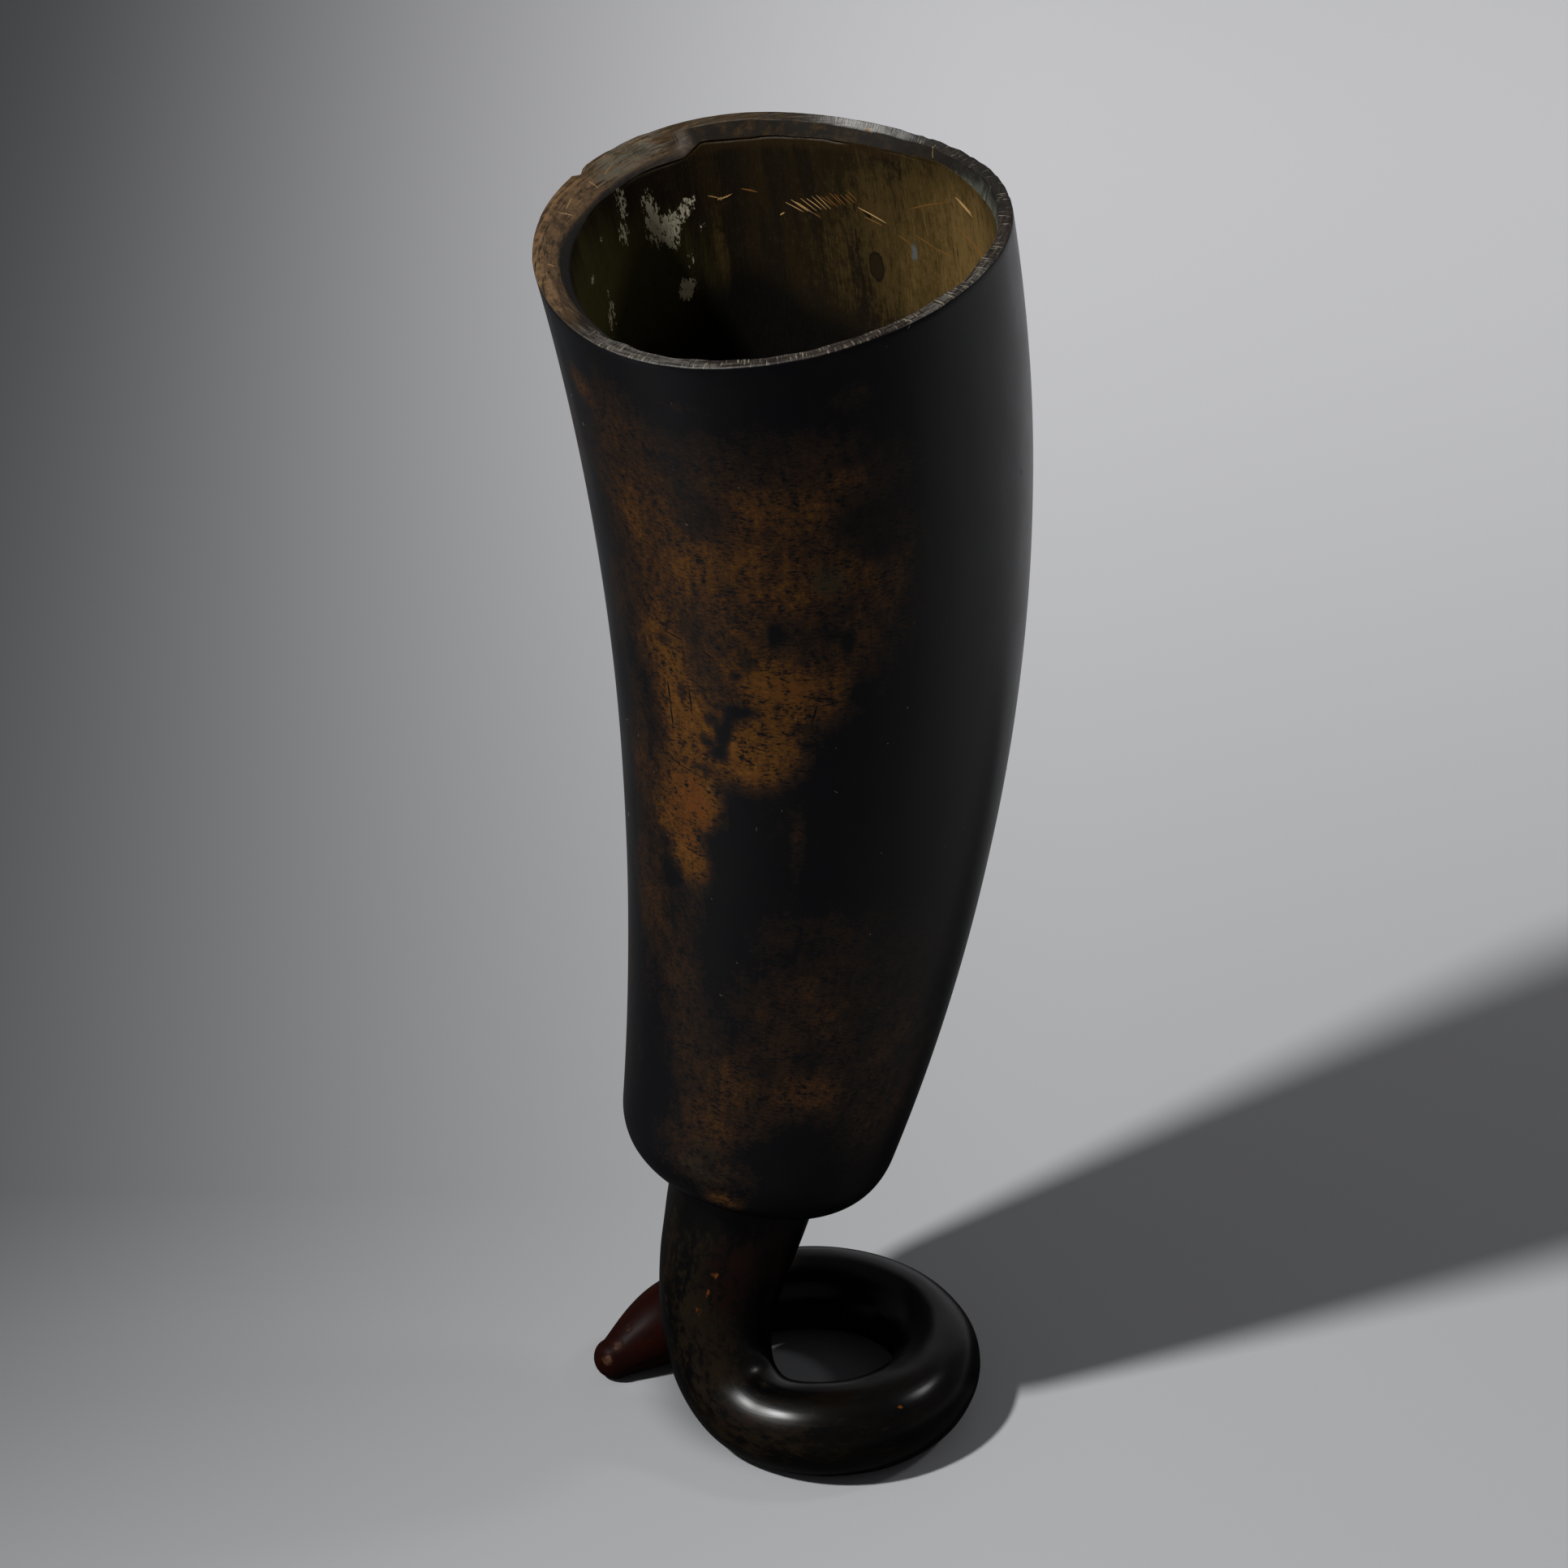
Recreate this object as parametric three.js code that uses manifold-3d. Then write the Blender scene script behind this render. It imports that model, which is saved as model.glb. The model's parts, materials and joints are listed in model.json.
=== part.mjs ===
// A drinking cup made from one cattle horn. The hollow part of the horn is the cup, and its solid
// point is pared down to a round stem, softened with heat and bent into a loop that lies flat and
// carries the cup. Millimetres, +Z up. The cup stands on z = 0 with the middle of its outline box
// above the origin. Seen from the front (from -Y), the loop lies to the right of the stem, and the
// point passes behind the stem and comes out on its left.
//
// The real cup is a single horn. The five meshes are its five zones, from the mouth to the point:
// cup_wall, cup_base, stem, foot_loop and horn_point. Each meets the next along one shared cut.
import * as THREE from "three";
import { mergeVertices } from "three/addons/utils/BufferGeometryUtils.js";
import Module from "manifold-3d";

// The horn's own curve. From the underside of the shoulder to the mouth, its axis is one arc in an
// upright plane that is turned by arcHeading from the X axis. Leans are degrees from the vertical.
const bodyLength = 145.1;
const shoulderLean = 15;
const mouthLean = -12.7;
const arcHeading = 30;

// Outside widths of the horn, square to its axis. The first is what the horn would measure at its
// underside if the shoulder were not rounded.
const undersideWidth = 35.4;
const middleWidth = 51.4;
const mouthWidth = 59.4;

// The mouth is a little oval with three soft lobes, given as shares of its half width, and it is cut
// at a small slope: its edge stands highest towards mouthSlopeHeading. Further down the slope fades,
// and the higher the fade's power, the sooner.
const mouthOval = 0.073;
const mouthOvalHeading = -35;
const mouthLobes = 0.033;
const mouthSlope = 1.9;
const mouthSlopeHeading = -124;
const mouthSlopeFade = 6;

// The wall, its thicker side, and the rounded end of the hollow, which is one dome.
const mouthWall = 3.3;
const baseWall = 8;
const wallSwell = 1.2;
const wallSwellHeading = 140;
const hollowFloor = 20;
const domeHeight = 15;

// The lip: a flat edge, and inside it a bevel that runs down to the full wall.
const lipWidth = 1.9;
const lipBevelDepth = 2.6;

// The shoulder is rounded over this much of the horn's length, and runs into the flare of the side.
// A power of 2 would be an ellipse.
const shoulderDepth = 8.1;
const shoulderPower = 2.3;

// The stem starts under the shoulder and runs straight on along the horn's axis before it bends.
const undersideHeight = 37.5;
const stemTopWidth = 20.6;
const stemFootWidth = 18.4;
const stemLength = 11.2;
const bendReach = 13.7;

// The loop, measured from the middle of its bar, with the angles where it starts, where it comes
// foremost and where it ends.
const loopHalfWidth = 15.1;
const loopHalfDepth = 16.3;
const loopStartAngle = 225;
const loopFrontAngle = 270;
const loopEndAngle = 413;
const loopReach = 6.7;
const loopStartWidth = 12.4;
const loopFrontWidth = 12.9;
const loopBackWidth = 11.5;

// Where the stem comes down, measured from the loop's middle to the middle of the underside.
const stemToLeft = 11;
const stemToBack = 0.2;

// The point leaves the loop, passes behind the stem and ends in a blunt tip on the left.
const pointLeft = 29.7;
const pointBack = 4;
const pointHeading = 204;
const pointStartReach = 18.7;
const pointEndReach = 5.7;
const pointBarWidth = 10.6;
const pointEndWidth = 6;

// Shares of the point's length: where its mesh takes over from the loop's, and where it begins to
// taper.
const pointCutShare = 0.42;
const pointTaperShare = 0.82;

// What lies on the ground is worn flat by this much.
const footWear = 0.3;

// How finely the surfaces are divided.
const bodySides = 48;
const wallSteps = 16;
const shoulderSteps = 7;
const domeSteps = 6;
const tipSteps = 3;
const solidSides = 24;
const ringSpacing = 2.6;

const radians = THREE.MathUtils.degToRad;
const lerp = THREE.MathUtils.lerp;

// A ring's frame: its centre, the direction along the horn, and two directions across it.
function frameAt(centre, along, across) {
  const side = across.clone().addScaledVector(along, -across.dot(along)).normalize();
  return { centre, along, side, depth: along.clone().cross(side) };
}

function pointIn({ centre, along, side, depth }, x, y, lift = 0) {
  const point = centre.clone().addScaledVector(side, x).addScaledVector(depth, y);
  return point.addScaledVector(along, lift);
}

// The horn's frame at a length from the underside, with the loop's middle as the origin.
function bodyFrame(length) {
  const startLean = radians(shoulderLean);
  const turnPerLength = (startLean - radians(mouthLean)) / bodyLength;
  const lean = startLean - turnPerLength * length;
  const forward = (Math.cos(lean) - Math.cos(startLean)) / turnPerLength;
  const rise = (Math.sin(startLean) - Math.sin(lean)) / turnPerLength;
  const heading = new THREE.Vector3(Math.cos(radians(arcHeading)), Math.sin(radians(arcHeading)), 0);
  const centre = new THREE.Vector3(-stemToLeft, stemToBack, undersideHeight + rise);
  centre.addScaledVector(heading, forward);
  const along = heading.multiplyScalar(Math.sin(lean));
  along.z = Math.cos(lean);
  return frameAt(centre, along, new THREE.Vector3(1, 0, 0));
}

// The outside, as a parabola through the three widths, with the mouth's oval and lobes growing in.
function outsideRadius(length, angle) {
  const u = length / bodyLength;
  const atUnderside = undersideWidth * (1 - u) * (1 - 2 * u);
  const atMiddle = middleWidth * 4 * u * (1 - u);
  const atMouth = mouthWidth * u * (2 * u - 1);
  const oval = mouthOval * Math.cos(2 * (angle - radians(mouthOvalHeading)));
  const lobes = mouthLobes * Math.cos(3 * angle);
  return ((atUnderside + atMiddle + atMouth) / 2) * (1 + u * (oval + lobes));
}

// The wall is thickest at the base and thins fastest there.
function wallThickness(length, angle) {
  const u = length / bodyLength;
  const swell = wallSwell * u * Math.cos(angle - radians(wallSwellHeading));
  return lerp(baseWall, mouthWall, Math.sqrt(u)) + swell;
}

// A ring round the horn, lifted along the horn by the mouth's slope.
function bodyRing(length, radiusAt) {
  const frame = bodyFrame(length);
  const slope = Math.tan(radians(mouthSlope)) * (length / bodyLength) ** mouthSlopeFade;
  const ring = [];
  for (let i = 0; i < bodySides; i++) {
    const angle = (2 * Math.PI * i) / bodySides;
    const radius = radiusAt(angle);
    const lift = slope * radius * Math.cos(angle - radians(mouthSlopeHeading));
    ring.push(pointIn(frame, radius * Math.cos(angle), radius * Math.sin(angle), lift));
  }
  return ring;
}

function outsideRing(length) {
  return bodyRing(length, (angle) => outsideRadius(length, angle));
}

function hollowRing(length, share = 1) {
  return bodyRing(length, (angle) => share * (outsideRadius(length, angle) - wallThickness(length, angle)));
}

// A closed skin over rings of equal count. Either the last ring joins the first one, or both ends
// are closed by fans.
function loft(rings, joined = false) {
  const count = rings[0].length;
  const positions = rings.flat().flatMap((p) => [p.x, p.y, p.z]);
  const faces = [];
  const bands = joined ? rings.length : rings.length - 1;
  for (let band = 0; band < bands; band++) {
    const low = band * count;
    const high = ((band + 1) % rings.length) * count;
    for (let i = 0; i < count; i++) {
      const next = (i + 1) % count;
      faces.push(low + i, low + next, high + next, low + i, high + next, high + i);
    }
  }
  function closeEnd(ring, first, isStart) {
    const middle = new THREE.Vector3();
    ring.forEach((p) => middle.addScaledVector(p, 1 / count));
    const hub = positions.push(middle.x, middle.y, middle.z) / 3 - 1;
    for (let i = 0; i < count; i++) {
      const next = (i + 1) % count;
      faces.push(hub, first + (isStart ? next : i), first + (isStart ? i : next));
    }
  }
  if (!joined) {
    closeEnd(rings[0], 0, true);
    closeEnd(rings.at(-1), (rings.length - 1) * count, false);
  }
  const geometry = new THREE.BufferGeometry();
  geometry.setAttribute("position", new THREE.Float32BufferAttribute(positions, 3));
  return geometry.setIndex(faces);
}

// The wall and the base meet where the hollow's dome begins.
const domeTop = hollowFloor + domeHeight;

function cupWall() {
  const rings = [];
  for (let i = 0; i <= wallSteps; i++) {
    rings.push(outsideRing(lerp(domeTop, bodyLength, i / wallSteps)));
  }
  rings.push(bodyRing(bodyLength, (angle) => outsideRadius(bodyLength, angle) - lipWidth));
  for (let i = wallSteps; i >= 0; i--) {
    rings.push(hollowRing(lerp(domeTop, bodyLength - lipBevelDepth, i / wallSteps)));
  }
  return loft(rings, true);
}

// The base runs from the stem outwards round the shoulder, up the side, over the cut and down the
// dome of the hollow.
function cupBase() {
  const rings = [];
  for (let i = 0; i <= shoulderSteps; i++) {
    const turn = (Math.PI / 2) * (i / shoulderSteps);
    const outwards = Math.sin(turn) ** (2 / shoulderPower);
    const upwards = 1 - Math.cos(turn) ** (2 / shoulderPower);
    const length = shoulderDepth * upwards;
    rings.push(bodyRing(length, (angle) => lerp(stemTopWidth / 2, outsideRadius(length, angle), outwards)));
  }
  const sideSteps = Math.max(1, Math.round((domeTop - shoulderDepth) / (bodyLength / wallSteps)));
  for (let i = 1; i <= sideSteps; i++) {
    rings.push(outsideRing(lerp(shoulderDepth, domeTop, i / sideSteps)));
  }
  for (let i = 0; i < domeSteps; i++) {
    const turn = (Math.PI / 2) * (i / domeSteps);
    rings.push(hollowRing(domeTop - domeHeight * Math.sin(turn), Math.cos(turn)));
  }
  return loft(rings);
}

// The loop's ellipse, on the ground.
class LoopArc extends THREE.Curve {
  getPoint(t, target = new THREE.Vector3()) {
    const angle = radians(lerp(loopStartAngle, loopEndAngle, t));
    return target.set(loopHalfWidth * Math.cos(angle), loopHalfDepth * Math.sin(angle), 0);
  }
}

// The middle line of the solid horn in four stretches: stem, bend, loop and point.
function solidStretches() {
  const { centre: top, along } = bodyFrame(0);
  const stemFoot = top.clone().addScaledVector(along, -stemLength);
  const arc = new LoopArc();
  const loopBegin = arc.getPoint(0).setZ(loopStartWidth / 2 - footWear);
  const bend = new THREE.CubicBezierCurve3(
    stemFoot,
    stemFoot.clone().addScaledVector(along, -bendReach),
    loopBegin.clone().addScaledVector(arc.getTangent(0), -loopReach),
    loopBegin,
  );
  const heading = new THREE.Vector3(Math.cos(radians(pointHeading)), Math.sin(radians(pointHeading)), 0);
  const pointEnd = new THREE.Vector3(-pointLeft, pointBack, 0);
  const point = new THREE.CubicBezierCurve3(
    arc.getPoint(1),
    arc.getPoint(1).addScaledVector(arc.getTangent(1), pointStartReach),
    pointEnd.clone().addScaledVector(heading, -pointEndReach),
    pointEnd,
  );
  return { stem: new THREE.LineCurve3(top, stemFoot), bend, arc, point };
}

// Rings along the solid horn. The stem, the bend, the loop and the point follow each other, and the
// ring numbers where the meshes are divided come with them.
function solidRings() {
  const { stem, bend, arc, point } = solidStretches();
  const centres = [];
  const ends = [];
  for (const curve of [stem, bend, arc, point]) {
    const steps = Math.max(2, Math.round(curve.getLength() / ringSpacing));
    const from = centres.length === 0 ? 0 : 1;
    for (let i = from; i <= steps; i++) {
      centres.push(curve.getPointAt(i / steps));
    }
    ends.push(centres.length - 1);
  }
  const [stemEnd, bendEnd, arcEnd, last] = ends;
  const frontShare = (loopFrontAngle - loopStartAngle) / (loopEndAngle - loopStartAngle);
  const loopFront = Math.round(lerp(bendEnd, arcEnd, frontShare));
  const behindStem = Math.round(lerp(arcEnd, last, pointCutShare));
  const taperStart = Math.round(lerp(arcEnd, last, pointTaperShare));
  const places = [0, stemEnd, bendEnd, loopFront, arcEnd, behindStem, taperStart, last];
  const widths = [stemTopWidth, stemFootWidth, loopStartWidth, loopFrontWidth, loopBackWidth, loopBackWidth];
  widths.push(pointBarWidth, pointEndWidth);
  const widthAt = new THREE.CubicInterpolant(places, widths, 1);

  const radiusAt = (i) => widthAt.evaluate(i)[0] / 2;
  for (let i = bendEnd + 1; i <= last; i++) {
    centres[i].z = radiusAt(i) - footWear;
  }

  const rings = [];
  let frame = bodyFrame(0);
  frame = frameAt(frame.centre, frame.along.clone().negate(), frame.side);
  centres.forEach((centre, i) => {
    if (i > 0) {
      const along = centres[Math.min(i + 1, last)].clone().sub(centres[i - 1]).normalize();
      frame = frameAt(centre, along, frame.side);
    }
    rings.push(solidRing(frame, radiusAt(i)));
  });
  const tip = radiusAt(last);
  for (let i = 1; i <= tipSteps; i++) {
    const turn = (Math.PI / 2) * (i / (tipSteps + 1));
    const centre = frame.centre.clone().addScaledVector(frame.along, tip * Math.sin(turn));
    rings.push(solidRing({ ...frame, centre }, tip * Math.cos(turn)));
  }
  return { rings, bendEnd, behindStem };
}

function solidRing(frame, radius) {
  const ring = [];
  for (let i = 0; i < solidSides; i++) {
    const angle = (2 * Math.PI * i) / solidSides;
    ring.push(pointIn(frame, radius * Math.cos(angle), radius * Math.sin(angle)));
  }
  return ring;
}

const manifold = await Module();
manifold.setup();

function toSolid(geometry) {
  geometry.deleteAttribute("normal");
  geometry.deleteAttribute("uv");
  const merged = mergeVertices(geometry, 1e-4);
  const mesh = new manifold.Mesh({
    numProp: 3,
    vertProperties: merged.getAttribute("position").array,
    triVerts: new Uint32Array(merged.index.array),
  });
  return new manifold.Manifold(mesh);
}

// Takes off whatever is below the ground.
function wornFlat(geometry) {
  const across = 4 * (pointLeft + loopHalfWidth);
  const ground = new THREE.BoxGeometry(across, across, across).translate(0, 0, -across / 2);
  const { vertProperties, triVerts } = toSolid(geometry).subtract(toSolid(ground)).getMesh();
  const worn = new THREE.BufferGeometry();
  worn.setAttribute("position", new THREE.BufferAttribute(vertProperties, 3));
  return worn.setIndex(new THREE.BufferAttribute(triVerts, 1));
}

const horn = new THREE.Group();

function addZone(name, geometry, color, roughness) {
  geometry.computeVertexNormals();
  const mesh = new THREE.Mesh(geometry, new THREE.MeshStandardMaterial({ color, roughness, metalness: 0 }));
  mesh.name = name;
  horn.add(mesh);
}

const { rings, bendEnd, behindStem } = solidRings();
addZone("cup_wall", cupWall(), 0x2e2018, 0.32);
addZone("cup_base", cupBase(), 0x33241a, 0.32);
addZone("stem", wornFlat(loft(rings.slice(0, bendEnd + 1))), 0x33201a, 0.3);
addZone("foot_loop", wornFlat(loft(rings.slice(bendEnd, behindStem + 1))), 0x1e1613, 0.25);
addZone("horn_point", wornFlat(loft(rings.slice(behindStem))), 0x4f2214, 0.35);

// The middle of the outline box goes above the origin.
const middle = new THREE.Box3().setFromObject(horn).getCenter(new THREE.Vector3());
horn.position.set(-middle.x, -middle.y, 0);

const part = new THREE.Group();
part.add(horn);

export default part;
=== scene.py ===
import json
import math

import bpy
import numpy as np
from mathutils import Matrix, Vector


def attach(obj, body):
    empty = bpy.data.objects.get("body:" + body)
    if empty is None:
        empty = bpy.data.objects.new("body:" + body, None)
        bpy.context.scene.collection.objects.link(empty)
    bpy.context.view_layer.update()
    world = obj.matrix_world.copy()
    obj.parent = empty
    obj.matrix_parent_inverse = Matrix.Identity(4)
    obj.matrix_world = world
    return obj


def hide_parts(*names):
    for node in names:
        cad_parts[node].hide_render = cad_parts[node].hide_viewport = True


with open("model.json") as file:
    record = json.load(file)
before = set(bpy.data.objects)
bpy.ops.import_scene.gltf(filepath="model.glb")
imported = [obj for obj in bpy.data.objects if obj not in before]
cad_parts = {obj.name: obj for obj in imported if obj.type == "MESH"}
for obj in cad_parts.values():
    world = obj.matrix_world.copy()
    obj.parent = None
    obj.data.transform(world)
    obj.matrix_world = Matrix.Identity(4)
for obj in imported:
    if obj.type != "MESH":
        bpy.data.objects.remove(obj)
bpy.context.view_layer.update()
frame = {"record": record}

# The camera stands in front of the cup and looks down on it through a long lens. Its place and
# tilt are those at which the cup's outline, rim and loop all fall where the photograph has them.
scene = bpy.context.scene
scene.view_settings.view_transform = "Standard"
camera = bpy.data.objects.new("camera", bpy.data.cameras.new("camera"))
camera.data.sensor_width = 36
camera.data.lens = 167.7
camera.location = (0, -0.8094, 0.6188)
camera.rotation_euler = (math.radians(57.266), 0, 0)
scene.collection.objects.link(camera)
scene.camera = camera

# The cup's wall. The hollow part of the horn, sawn square at the mouth, scraped and polished dark
# outside and left raw inside. Its edge is filed flat, with a wider bevel inside.
mm = 0.001

# A cattle horn is a cone of keratin, hollow for most of its length and solid at the point, and its
# axis is one slow arc. Every zone is first made on a straight blank, with Z along the horn, and is
# then bent along the arc, so the same blank also carries the horn's grain.
body_length = 145.1 * mm
underside_width = 35.4 * mm
middle_width = 51.4 * mm
mouth_width = 59.4 * mm
mouth_oval = 0.073
mouth_oval_heading = math.radians(-35)
mouth_lobes = 0.033
mouth_slope = math.tan(math.radians(1.9))
mouth_slope_heading = math.radians(-124)
mouth_slope_fade = 6
mouth_wall = 3.3 * mm
base_wall = 8 * mm
wall_swell = 1.2 * mm
wall_swell_heading = math.radians(140)
shoulder_lean = math.radians(15)
mouth_lean = math.radians(-12.7)
arc_heading = math.radians(30)
underside_height = 37.5 * mm
stem_to_left = 11 * mm
stem_to_back = 0.2 * mm
loop_half_depth = 16.3 * mm

# The foot's resting point lies straight below the front of the loop's bar.
rest_point = Vector(next(m for m in frame["record"]["mounts"] if m["name"] == "foot_rest")["pos_m"])
loop_middle = rest_point + Vector((0, loop_half_depth, 0))

body_sides = 288
turns = np.arange(body_sides) * 2 * math.pi / body_sides


def outside_radius(along, angle=turns):
    u = along / body_length
    at_ends = underside_width * (1 - u) * (1 - 2 * u) + mouth_width * u * (2 * u - 1)
    width = at_ends + middle_width * 4 * u * (1 - u)
    oval = mouth_oval * np.cos(2 * (angle - mouth_oval_heading))
    return width / 2 * (1 + u * (oval + mouth_lobes * np.cos(3 * angle)))


def wall_thickness(along, angle=turns):
    u = along / body_length
    swell = wall_swell * u * np.cos(angle - wall_swell_heading)
    return base_wall + (mouth_wall - base_wall) * np.sqrt(u) + swell


def body_ring(along, radius):
    slope = mouth_slope * (along / body_length) ** mouth_slope_fade
    height = along + slope * radius * np.cos(turns - mouth_slope_heading)
    return np.stack([radius * np.cos(turns), radius * np.sin(turns), height], axis=1)


def hollow_ring(along, share=1):
    return body_ring(along, share * (outside_radius(along) - wall_thickness(along)))


def skin_over(name, rings, skins, joined=False):
    """A closed mesh over rings of equal count. skins numbers the finish of each band of faces."""
    count = len(rings[0])
    here = np.arange(count)
    after = (here + 1) % count
    faces = []
    for band in range(len(rings) if joined else len(rings) - 1):
        low = band * count
        high = (band + 1) % len(rings) * count
        faces += np.stack([low + here, low + after, high + after, high + here], axis=1).tolist()
    points = np.concatenate(rings)
    skin = np.repeat(skins, count)
    if not joined:
        hubs = [rings[0].mean(axis=0), rings[-1].mean(axis=0)]
        first, last = len(points), len(points) + 1
        top = (len(rings) - 1) * count
        faces += np.stack([np.full(count, first), after, here], axis=1).tolist()
        faces += np.stack([np.full(count, last), top + here, top + after], axis=1).tolist()
        points = np.concatenate([points, hubs])
        skin = np.concatenate([skin, np.full(count, skins[0]), np.full(count, skins[-1])])
    mesh = bpy.data.meshes.new(name)
    mesh.from_pydata(points.tolist(), [], faces)
    mesh.attributes.new("skin", "INT", "FACE").data.foreach_set("value", skin.astype(np.int32))
    return mesh


spot_reach = 1.25


def soft_spots(mesh, name, spots, spared=()):
    """Stores where a finish shows: each spot is round (degrees), along, half width and half height
    (mm) on the straight blank, and a strength, and it fades out. Spared spots take away."""
    points = np.array([v.co for v in mesh.vertices])
    angle = np.arctan2(points[:, 1], points[:, 0])
    radius = np.hypot(points[:, 0], points[:, 1])

    def covered(spots):
        clear = np.ones(len(points))
        for degrees, along, half_width, half_height, strength in spots:
            off = (angle - math.radians(degrees) + math.pi) % (2 * math.pi) - math.pi
            across = off * radius / (half_width * mm)
            down = (points[:, 2] - along * mm) / (half_height * mm)
            nearness = np.clip(spot_reach - np.hypot(across, down), 0, 1)
            clear *= 1 - strength * nearness ** 2 * (3 - 2 * nearness)
        return 1 - clear

    amount = covered(spots) * (1 - covered(spared))
    mesh.attributes.new(name, "FLOAT", "POINT").data.foreach_set("value", amount)


def add(tree, kind, inputs=None, **settings):
    """Adds a node, of the shader family where kind names no other. An input is named or numbered,
    and takes a value, a socket or a node."""
    node = tree.nodes.new(kind if "Node" in kind else "ShaderNode" + kind)
    for name, value in settings.items():
        setattr(node, name, value)
    for key, value in (inputs or {}).items():
        named = (s for s in node.inputs if s.enabled and s.name == key)
        socket = node.inputs[key] if isinstance(key, int) else next(named)
        if isinstance(value, bpy.types.Node):
            value = next(s for s in value.outputs if s.enabled)
        if isinstance(value, bpy.types.NodeSocket):
            tree.links.new(value, socket)
        else:
            socket.default_value = value
    return node


def new_tree(name, inputs):
    """A Geometry Nodes tree with these named inputs beside its geometry, and their sockets."""
    tree = bpy.data.node_groups.new(name, "GeometryNodeTree")
    for input_name, kind in {"Geometry": "Geometry", **inputs}.items():
        tree.interface.new_socket(input_name, in_out="INPUT", socket_type="NodeSocket" + kind)
    tree.interface.new_socket("Geometry", in_out="OUTPUT", socket_type="NodeSocketGeometry")
    return tree, {socket.name: socket for socket in add(tree, "NodeGroupInput").outputs}


# The tree carries a straight blank along a spine curve, adds the slow unevenness that scraping
# leaves, and flattens whatever would reach below the ground.
bending, given = new_tree("Bend along the horn", {
    "Spine": "Object", "Keep the spine's twist": "Bool", "Unevenness": "Float", "Facet width": "Float",
    "Facet length": "Float", "Even near the joint": "Float", "Outside": "Material",
    "Lip": "Material", "Inside": "Material",
})
blank_place = add(bending, "GeometryNodeInputPosition")
grained = add(bending, "GeometryNodeStoreNamedAttribute",
              {"Geometry": given["Geometry"], "Name": "grain", "Value": blank_place},
              data_type="FLOAT_VECTOR", domain="POINT")
blank_parts = add(bending, "SeparateXYZ", {0: blank_place})
facet_width = given["Facet width"]
facet = add(bending, "CombineXYZ", {0: facet_width, 1: facet_width, 2: given["Facet length"]})
facet_place = add(bending, "VectorMath", {0: blank_place, 1: facet}, operation="DIVIDE")
scraping = add(bending, "TexNoise", {"Vector": facet_place, "Scale": 1.0, "Detail": 1.0})
uneven = add(bending, "Math", {0: scraping.outputs[0], 1: 0.5}, operation="SUBTRACT")
fade = add(bending, "MapRange",
           {"Value": blank_parts.outputs["Z"], "From Min": 0.0,
            "From Max": given["Even near the joint"]}, interpolation_type="SMOOTHSTEP")
height = add(bending, "Math", {0: uneven, 1: given["Unevenness"]}, operation="MULTIPLY")
height = add(bending, "Math", {0: height, 1: fade}, operation="MULTIPLY")
flat_place = add(bending, "VectorMath", {0: blank_place, 1: (1, 1, 0)}, operation="MULTIPLY")
outwards = add(bending, "VectorMath", {0: flat_place}, operation="NORMALIZE")
outwards = add(bending, "VectorMath", {0: outwards, "Scale": height}, operation="SCALE")
scraped = add(bending, "VectorMath", {0: blank_place, 1: outwards}, operation="ADD")
scraped_parts = add(bending, "SeparateXYZ", {0: scraped})
spine = add(bending, "GeometryNodeObjectInfo", {"Object": given["Spine"]})
on_spine = add(bending, "GeometryNodeSampleCurve",
               {"Curves": spine.outputs["Geometry"], "Length": scraped_parts.outputs["Z"]},
               mode="LENGTH", use_all_curves=True)
tangent = on_spine.outputs["Tangent"]
across = add(bending, "GeometryNodeSwitch",
             {"Switch": given["Keep the spine's twist"], "False": (1, 0, 0),
              "True": on_spine.outputs["Normal"]}, input_type="VECTOR")
share = add(bending, "VectorMath", {0: across, 1: tangent}, operation="DOT_PRODUCT")
lengthwise = add(bending, "VectorMath", {0: tangent, "Scale": share}, operation="SCALE")
side = add(bending, "VectorMath", {0: across, 1: lengthwise}, operation="SUBTRACT")
side = add(bending, "VectorMath", {0: side}, operation="NORMALIZE")
depth = add(bending, "VectorMath", {0: tangent, 1: side}, operation="CROSS_PRODUCT")
sideways = add(bending, "VectorMath",
               {0: side, "Scale": scraped_parts.outputs["X"]}, operation="SCALE")
deepways = add(bending, "VectorMath",
               {0: depth, "Scale": scraped_parts.outputs["Y"]}, operation="SCALE")
bent_place = add(bending, "VectorMath", {0: sideways, 1: deepways}, operation="ADD")
bent_place = add(bending, "VectorMath",
                 {0: bent_place, 1: on_spine.outputs["Position"]}, operation="ADD")
bent_parts = add(bending, "SeparateXYZ", {0: bent_place})
soft_edge = 0.2 * mm
worn_height = add(bending, "Math",
                  {0: bent_parts.outputs["Z"], 1: 0.0, 2: soft_edge}, operation="SMOOTH_MAX")
worn_place = add(bending, "CombineXYZ",
                 {0: bent_parts.outputs["X"], 1: bent_parts.outputs["Y"], 2: worn_height})
bent = add(bending, "GeometryNodeSetPosition", {"Geometry": grained, "Position": worn_place})
bent = add(bending, "GeometryNodeRealizeInstances", {"Geometry": bent})
for number, skin_name in enumerate(("Outside", "Lip", "Inside")):
    skin = add(bending, "GeometryNodeInputNamedAttribute", {"Name": "skin"}, data_type="INT")
    chosen = add(bending, "FunctionNodeCompare", {"A": skin, "B": number},
                 data_type="INT", operation="EQUAL")
    bent = add(bending, "GeometryNodeSetMaterial",
               {"Geometry": bent, "Selection": chosen, "Material": given[skin_name]})
add(bending, "NodeGroupOutput", {"Geometry": bent})


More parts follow.
